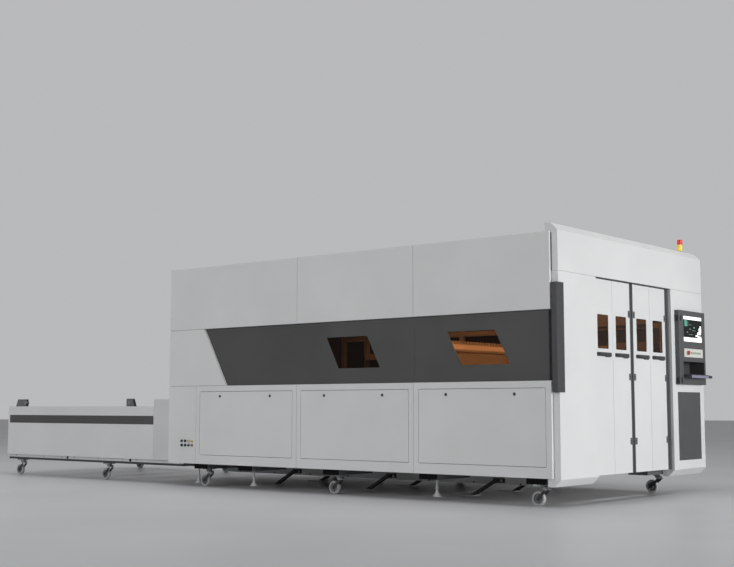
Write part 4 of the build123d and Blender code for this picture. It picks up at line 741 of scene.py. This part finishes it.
# Latch plates behind the door's pull bars, with a finger lip below and a lock barrel in the bar
HANDLE_LENGTH, HANDLE_FOOT = 0.262, 1.267
barrel_profile = ((0, 0), (0, 0.0095), (0.002, 0.0095), (0.0028, 0.008), (0.0028, 0.003),
                  (0.0012, 0.0025), (0.0012, 0))
for leaf, start in ((1, -0.717), (2, -0.384), (3, 0.0145), (4, 0.34)):
    bm = bmesh.new()
    add_block(bm, (X_LEAF_FACE, start + 0.006, HANDLE_FOOT - 0.006),
              (X_LEAF_FACE + 0.0022, start + HANDLE_LENGTH + 0.003, HANDLE_FOOT + 0.03),
              bevel=0.001)
    add_block(bm, (X_LEAF_FACE + 0.0005, start + 0.15, HANDLE_FOOT - 0.012),
              (X_LEAF_FACE + 0.009, start + 0.236, HANDLE_FOOT - 0.0005), bevel=0.002)
    add_turned(bm, (X_LEAF_FACE + 0.0145, start + 0.02, HANDLE_FOOT + 0.012), FRONT,
               barrel_profile, 24, 1)
    piece(f"leaf_{leaf}_latch_plate", bm, [dark_hardware, black_abs],
          f"leaf_{leaf}")

# Clamped cable trunking on the far wall, and an end box and a drive box in front of it
TRUNK_START, TRUNK_END, TRUNK_LOW, TRUNK_HIGH = -0.4, 2.9, 1.385, 1.455
TRUNK_DEPTH, BOX_DEPTH, LID = 0.06, 0.068, 0.0025
y_far_inner = far_high.y - 0.076
bm = bmesh.new()
add_block(bm, (TRUNK_START, y_far_inner - TRUNK_DEPTH, TRUNK_LOW),
          (TRUNK_END, y_far_inner, TRUNK_HIGH), bevel=0.004)
for x in (0.28, 0.96, 1.64, 2.32):
    add_block(bm, (x - 0.015, y_far_inner - TRUNK_DEPTH - 0.004, TRUNK_LOW - 0.005),
              (x + 0.015, y_far_inner, TRUNK_HIGH + 0.005), bevel=0.002)
piece("far_cable_trunking", bm, trunk_steel)
bm = bmesh.new()
for x0, x1, z0, z1 in ((2.885, 3.335, 1.365, 1.482), (2.6, 3.335, 1.657, 1.83)):
    y_lid = y_far_inner - BOX_DEPTH - LID
    add_block(bm, (x0, y_far_inner - BOX_DEPTH, z0), (x1, y_far_inner, z1), bevel=0.004)
    add_block(bm, (x0 + 0.006, y_lid, z0 + 0.006),
              (x1 - 0.006, y_far_inner - BOX_DEPTH + 0.0005, z1 - 0.006), bevel=0.001)
    for x in (x0 + 0.03, (x0 + x1) / 2, x1 - 0.03):
        for z in (z0 + 0.025, z1 - 0.025):
            add_pin(bm, (x, y_lid, z), NEAR, 0.002, 0.006, 10, tip=0.005)
piece("far_wall_boxes", bm, bracket_coat)

# Work lights along the roof tubes, inside
bm = bmesh.new()
for y in (-1.18, 1.18):
    add_block(bm, (0.05, y - 0.03, 2.15), (3.4, y + 0.03, 2.199), 0, 0.004)
    add_block(bm, (0.07, y - 0.022, 2.146), (3.38, y + 0.022, 2.1505), 1)
piece("work_lights", bm, [drawn_aluminium, led_diffuser])


# Geometry Nodes pieces

def node_group(name, inputs):
    """An empty Geometry Nodes tree with named inputs and its in and out nodes."""
    group = bpy.data.node_groups.new(name, "GeometryNodeTree")
    sockets = group.interface
    sockets.new_socket("Geometry", in_out="INPUT", socket_type="NodeSocketGeometry")
    for label, kind in inputs:
        sockets.new_socket(label, in_out="INPUT", socket_type="NodeSocket" + kind)
    sockets.new_socket("Geometry", in_out="OUTPUT", socket_type="NodeSocketGeometry")
    return group, group.nodes.new("NodeGroupInput"), group.nodes.new("NodeGroupOutput")


def finish_group(group, out, instances, material):
    """Realize Instances and Set Material close every tree, because the export drops instances."""
    real = add_node(group, "GeometryNodeRealizeInstances", {"Geometry": instances})
    painted = add_node(group, "GeometryNodeSetMaterial", {
        "Geometry": real.outputs[0], "Material": material})
    group.links.new(painted.outputs[0], out.inputs[0])


def grown(name, group, values, body="machine"):
    """Runs a tree on an empty mesh with its inputs set, and keeps the result as a plain mesh."""
    carrier = in_scene(name + "_carrier", bpy.data.meshes.new(name + "_carrier"))
    modifier = carrier.modifiers.new("grow", "NODES")
    modifier.node_group = group
    for item in group.interface.items_tree:
        if item.in_out == "INPUT" and item.name in values:
            modifier[item.identifier] = values[item.name]
    graph = bpy.context.evaluated_depsgraph_get()
    mesh = bpy.data.meshes.new_from_object(carrier.evaluated_get(graph))
    mesh.name = name
    bpy.data.objects.remove(carrier)
    made = in_scene(name, mesh)
    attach(made, body)
    return made


hidden_items = []


def hidden_item(name, bm):
    """A small mesh that only a tree uses; it is removed after the trees have run."""
    bmesh.ops.recalc_face_normals(bm, faces=bm.faces)
    hidden_items.append(bpy.data.objects.new(name, mesh_from(name, bm)))
    return hidden_items[-1]


# One tree sets out items in rows: screws, keys, louvres and the rack's teeth
rows_group, rows_in, rows_out = node_group("item_rows", (
    ("Item", "Object"), ("Material", "Material"), ("Start", "Vector"), ("Count A", "Int"),
    ("Step A", "Vector"), ("Count B", "Int"), ("Step B", "Vector")))
first = add_node(rows_group, "GeometryNodeMeshLine", {
    "Count": rows_in.outputs["Count A"], "Start Location": rows_in.outputs["Start"],
    "Offset": rows_in.outputs["Step A"]})
second = add_node(rows_group, "GeometryNodeMeshLine", {
    "Count": rows_in.outputs["Count B"], "Offset": rows_in.outputs["Step B"]})
line = add_node(rows_group, "GeometryNodeInstanceOnPoints", {
    "Points": second.outputs[0], "Instance": first.outputs[0]})
lines = add_node(rows_group, "GeometryNodeRealizeInstances", {"Geometry": line.outputs[0]})
item = add_node(rows_group, "GeometryNodeObjectInfo", {"Object": rows_in.outputs["Item"]})
spread = add_node(rows_group, "GeometryNodeInstanceOnPoints", {
    "Points": lines.outputs[0], "Instance": item.outputs["Geometry"]})
finish_group(rows_group, rows_out, spread.outputs[0], rows_in.outputs["Material"])


def in_rows(name, item, material, start, count_a, step_a, count_b, step_b,
            body="machine"):
    """An item repeated in a grid of count_a by count_b."""
    return grown(name, rows_group, {
        "Item": item, "Material": material, "Start": start, "Count A": count_a, "Step A": step_a,
        "Count B": count_b, "Step B": step_b}, body)


def screw_item(name, axis):
    """A pan head 12 mm across, standing 3 mm proud along its axis."""
    bm = bmesh.new()
    add_turned(bm, (0, 0, 0), axis, ((-0.0005, 0), (-0.0005, 0.006), (0.0012, 0.006),
                                     (0.0026, 0.0042), (0.003, 0)), 12)
    return hidden_item(name, bm)


# Pan-head screws along the seams of the far side, the rear wall and the roof
in_rows("far_side_screws", screw_item("far_screw_item", FAR), zinc,
        (far_low.x + 0.0705, far_high.y, 0.262), 34, (0.137, 0, 0), 2, (0, 0, 1.985))
in_rows("rear_wall_screws", screw_item("rear_screw_item", REAR), zinc,
        (rear_low.x, rear_low.y + 0.045, 1.05), 2, (0, rear_high.y - rear_low.y - 0.09, 0), 9,
        (0, 0, 0.145))
in_rows("roof_screws", screw_item("roof_screw_item", UP), zinc,
        (roof_low.x + 0.12, roof_low.y + 0.03, roof_high.z), 16, (0.29, 0, 0), 2,
        (0, roof_high.y - roof_low.y - 0.06, 0))

# Louvred vents on the far side, two fields of slanted blades
BLADE_HALF, blade_outline = 0.21, ((0, -0.01), (0.009, -0.013), (0, 0.01))
bm = bmesh.new()
close_rings(bm, *([bm.verts.new((x, y, z)) for y, z in blade_outline]
                  for x in (-BLADE_HALF, BLADE_HALF)))
louvre = hidden_item("louvre_item", bm)
for label, x in (("front", 3.1), ("rear", 0.28)):
    in_rows(f"far_louvres_{label}", louvre, white_coat, (x, far_high.y, 0.46), 2, (0.5, 0, 0), 16,
            (0, 0, 0.03))

# Keyboard on the tray: a slim case with five rows of keys
KEY_ROWS, KEYS_IN_ROW, KEY_SIZE, KEY_HEIGHT, DRAFT = 5, 22, 0.0155, 0.006, 0.002
key_x, key_y, key_z = tray_low.x + 0.012, tray_low.y + 0.018, tray_low.z + 0.0152
bm = bmesh.new()
add_block(bm, (key_x, key_y, key_z), (key_x + 0.128, key_y + 0.434, key_z + 0.014), bevel=0.003)
piece("keyboard_case", bm, black_abs, "keyboard_tray")
bm = bmesh.new()
close_rings(bm, *([bm.verts.new((x, y, z)) for x, y in ((a, a), (b, a), (b, b), (a, b))]
                  for a, b, z in ((0, KEY_SIZE, 0), (DRAFT, KEY_SIZE - DRAFT, KEY_HEIGHT))))
in_rows("keyboard_keys", hidden_item("key_item", bm), console_coat,
        (key_x + 0.012, key_y + 0.01, key_z + 0.0135), KEY_ROWS, (0.0215, 0, 0), KEYS_IN_ROW,
        (0, 0.019, 0), "keyboard_tray")

# Roller chains on their loops, in place of the plain rings
CHAIN_ROW, CHAIN_PITCH, CHAIN_HALF, ARC_STEPS = 0.913, 0.0254, 0.007, 12
chain_low, chain_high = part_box("drive_chains")
chain_radius = (chain_high.z - chain_low.z) / 2 - CHAIN_HALF
x_first = chain_low.x + CHAIN_HALF + chain_radius
x_last = chain_high.x - CHAIN_HALF - chain_radius
z_mid = (chain_low.z + chain_high.z) / 2
chain_ys = [Y_CORE + side * CHAIN_ROW for side in (-1, 1)]
chain_group, chain_in, chain_out = node_group("chain_loops", (
    ("Link", "Object"), ("Material", "Material"), ("Pitch", "Float"), ("Loop", "Object")))
loop_info = add_node(chain_group, "GeometryNodeObjectInfo", {"Object": chain_in.outputs["Loop"]})
loop_curve = add_node(chain_group, "GeometryNodeMeshToCurve", {
    "Mesh": loop_info.outputs["Geometry"]})
stations = add_node(chain_group, "GeometryNodeResampleCurve", {
    "Curve": loop_curve.outputs[0], "Length": chain_in.outputs["Pitch"]}, mode="LENGTH")
tangent = add_node(chain_group, "GeometryNodeInputTangent")
turned = add_node(chain_group, "FunctionNodeAlignRotationToVector", {
    "Vector": tangent.outputs[0]}, axis="X", pivot_axis="Y")
link_info = add_node(chain_group, "GeometryNodeObjectInfo", {"Object": chain_in.outputs["Link"]})
linked = add_node(chain_group, "GeometryNodeInstanceOnPoints", {
    "Points": stations.outputs[0], "Instance": link_info.outputs["Geometry"],
    "Rotation": turned.outputs[0]})
finish_group(chain_group, chain_out, linked.outputs[0], chain_in.outputs["Material"])

bm = bmesh.new()
half = CHAIN_PITCH / 2
for y in (-0.0068, 0.0068):
    add_block(bm, (-half - 0.003, y - 0.0012, -0.0062), (half + 0.003, y + 0.0012, 0.0062))
add_pin(bm, (-half, -0.0055, 0), FAR, 0.011, 0.0055, 10)
add_pin(bm, (half * 0.02, -0.0079, 0), FAR, 0.0158, 0.0022, 6)
link = hidden_item("chain_link_item", bm)

bm = bmesh.new()
arcs = [(x, start - pi * i / ARC_STEPS) for x, start in ((x_last, pi / 2), (x_first, -pi / 2))
        for i in range(ARC_STEPS + 1)]
for y in chain_ys:
    verts = [bm.verts.new((x + chain_radius * cos(angle), y, z_mid + chain_radius * sin(angle)))
             for x, angle in arcs]
    for a, b in zip(verts, verts[1:] + verts[:1]):
        bm.edges.new((a, b))
chains = grown("roller_chains", chain_group, {
    "Link": link, "Material": oiled_chain, "Pitch": CHAIN_PITCH,
    "Loop": hidden_item("chain_path_item", bm)})
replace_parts(chains, "drive_chains")

rim = chain_radius - 0.0062
bm = bmesh.new()
for y in chain_ys:
    add_turned(bm, (x_last, y - 0.0045, z_mid), FAR, (
        (0, 0.014), (0, rim), (0.009, rim), (0.009, 0.014), (0, 0.014)), 40)
    add_pin(bm, (x_last, y - 0.008, z_mid), FAR, 0.018, 0.0138, 20)
piece("chain_guide_wheels", bm, ground_steel, smooth=True)

# Toothed rack along the top of the gantry's front face
RACK_LOW, RACK_TOP, RACK_PITCH, TOOTH_HEIGHT = 1.333, 1.41, 0.017, 0.01
beam_low, beam_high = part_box("gantry_beam")
x_rack = X_FRONT - 1.6
bm = bmesh.new()
add_block(bm, (x_rack + 0.0002, beam_low.y + 0.09, RACK_LOW),
          (x_rack + 0.0017, beam_high.y - 0.09, RACK_TOP))
piece("gantry_rack_strip", bm, rack_coat, "gantry_beam")
tooth = [(-0.016, -0.0065), (-0.016, 0.0065), (0.0017, 0.0065), (0.0017, -0.0065)]
bm = bmesh.new()
close_rings(bm, *([bm.verts.new((x, y * share, z)) for x, y in tooth]
                  for share, z in ((1, 0), (0.4, TOOTH_HEIGHT))))
in_rows("gantry_rack_teeth", hidden_item("rack_tooth_item", bm), rack_coat,
        (x_rack, beam_low.y + 0.1, RACK_TOP - 0.0005), 1, (0, 0, 0),
        int((beam_high.y - beam_low.y - 0.2) / RACK_PITCH), (0, RACK_PITCH, 0),
        "gantry_beam")

for hidden in hidden_items:
    bpy.data.objects.remove(hidden)


# Floor, light and camera

bm = bmesh.new()
bmesh.ops.create_grid(bm, x_segments=1, y_segments=1, size=60)
floor_mesh = mesh_from("studio_floor", bm)
floor_mesh.materials.append(surface("pale_studio_floor", "#D2D3D4", 0.4,
                                    tones=(("#CDCECF", "#D5D6D7"), 2500), IOR=1.2))
in_scene("studio_floor", floor_mesh)


def soft_box(name, place, target, size, power, spread=180):
    """A large soft lamp that faces a point; a narrow spread keeps its light off the floor."""
    data = bpy.data.lights.new(name, "AREA")
    data.shape = "RECTANGLE"
    data.size, data.size_y = size
    data.energy = power
    data.spread = radians(spread)
    lamp = in_scene(name, data)
    lamp.location = place
    lamp.rotation_euler = (Vector(target) - Vector(place)).to_track_quat("-Z", "Y").to_euler()


soft_box("key_door_end", (17, -0.8, 2.6), (3.5, 0, 1.3), (9, 4), 246, 75)
soft_box("fill_service_side", (-3.4, -16, 6.4), (-0.8, 0, 0.9), (12, 6), 206, 100)
soft_box("top_light", (0, -1, 12), (0, 0, 0), (14, 8), 500)
soft_box("inside_over_gantry", (3.2, -0.3, 2.05), (2.28, -0.2, 1.3), (1.6, 0.2), 20)
soft_box("inside_near", (1.7, -1.15, 2.12), (1.7, 0.9, 1.4), (3.2, 0.05), 10)
soft_box("inside_far", (1.7, 0.9, 2.12), (1.7, 1.4, 1.4), (3.6, 0.05), 10)

# The world looks brighter, also through the panes, than the light it gives
WORLD_LIGHT, WORLD_SEEN = 0.23, 0.55
world = bpy.data.worlds.new("studio_world")
bpy.context.scene.world = world
world.use_nodes = True
tree = world.node_tree
back = tree.nodes["Background"]
rays = add_node(tree, "ShaderNodeLightPath")
seen = rays.outputs["Is Camera Ray"]
for kind in ("Is Glossy Ray", "Is Transmission Ray"):
    seen = add_node(tree, "ShaderNodeMath", {0: seen, 1: rays.outputs[kind]},
                    operation="MAXIMUM").outputs[0]
level = add_node(tree, "ShaderNodeMapRange", {
    "Value": seen, "To Min": WORLD_LIGHT, "To Max": WORLD_SEEN})
tree.links.new(level.outputs[0], back.inputs["Strength"])
back.inputs["Color"].default_value = srgb("#F1F2F3")

# Camera at the photograph's angle, found by fitting its edges. The image is 734 by 567.
PHOTO_WIDTH, FOCAL_PIXELS, SENSOR_MM = 734, 1212.34, 36.0
PITCH, AZIMUTH = radians(5.8036), radians(39.4563)
camera_data = bpy.data.cameras.new("photo_camera")
camera_data.sensor_width = SENSOR_MM
camera_data.sensor_fit = "HORIZONTAL"
camera_data.lens = FOCAL_PIXELS / PHOTO_WIDTH * SENSOR_MM
camera_data.clip_end = 200
camera = in_scene("photo_camera", camera_data)
camera.location = (8.9948, -10.086, 0.823)
look = Vector((-sin(AZIMUTH) * cos(PITCH), cos(AZIMUTH) * cos(PITCH), sin(PITCH)))
camera.rotation_mode = "QUATERNION"
camera.rotation_quaternion = look.to_track_quat("-Z", "Y")
bpy.context.scene.camera = camera
bpy.context.scene.view_settings.view_transform = "Standard"
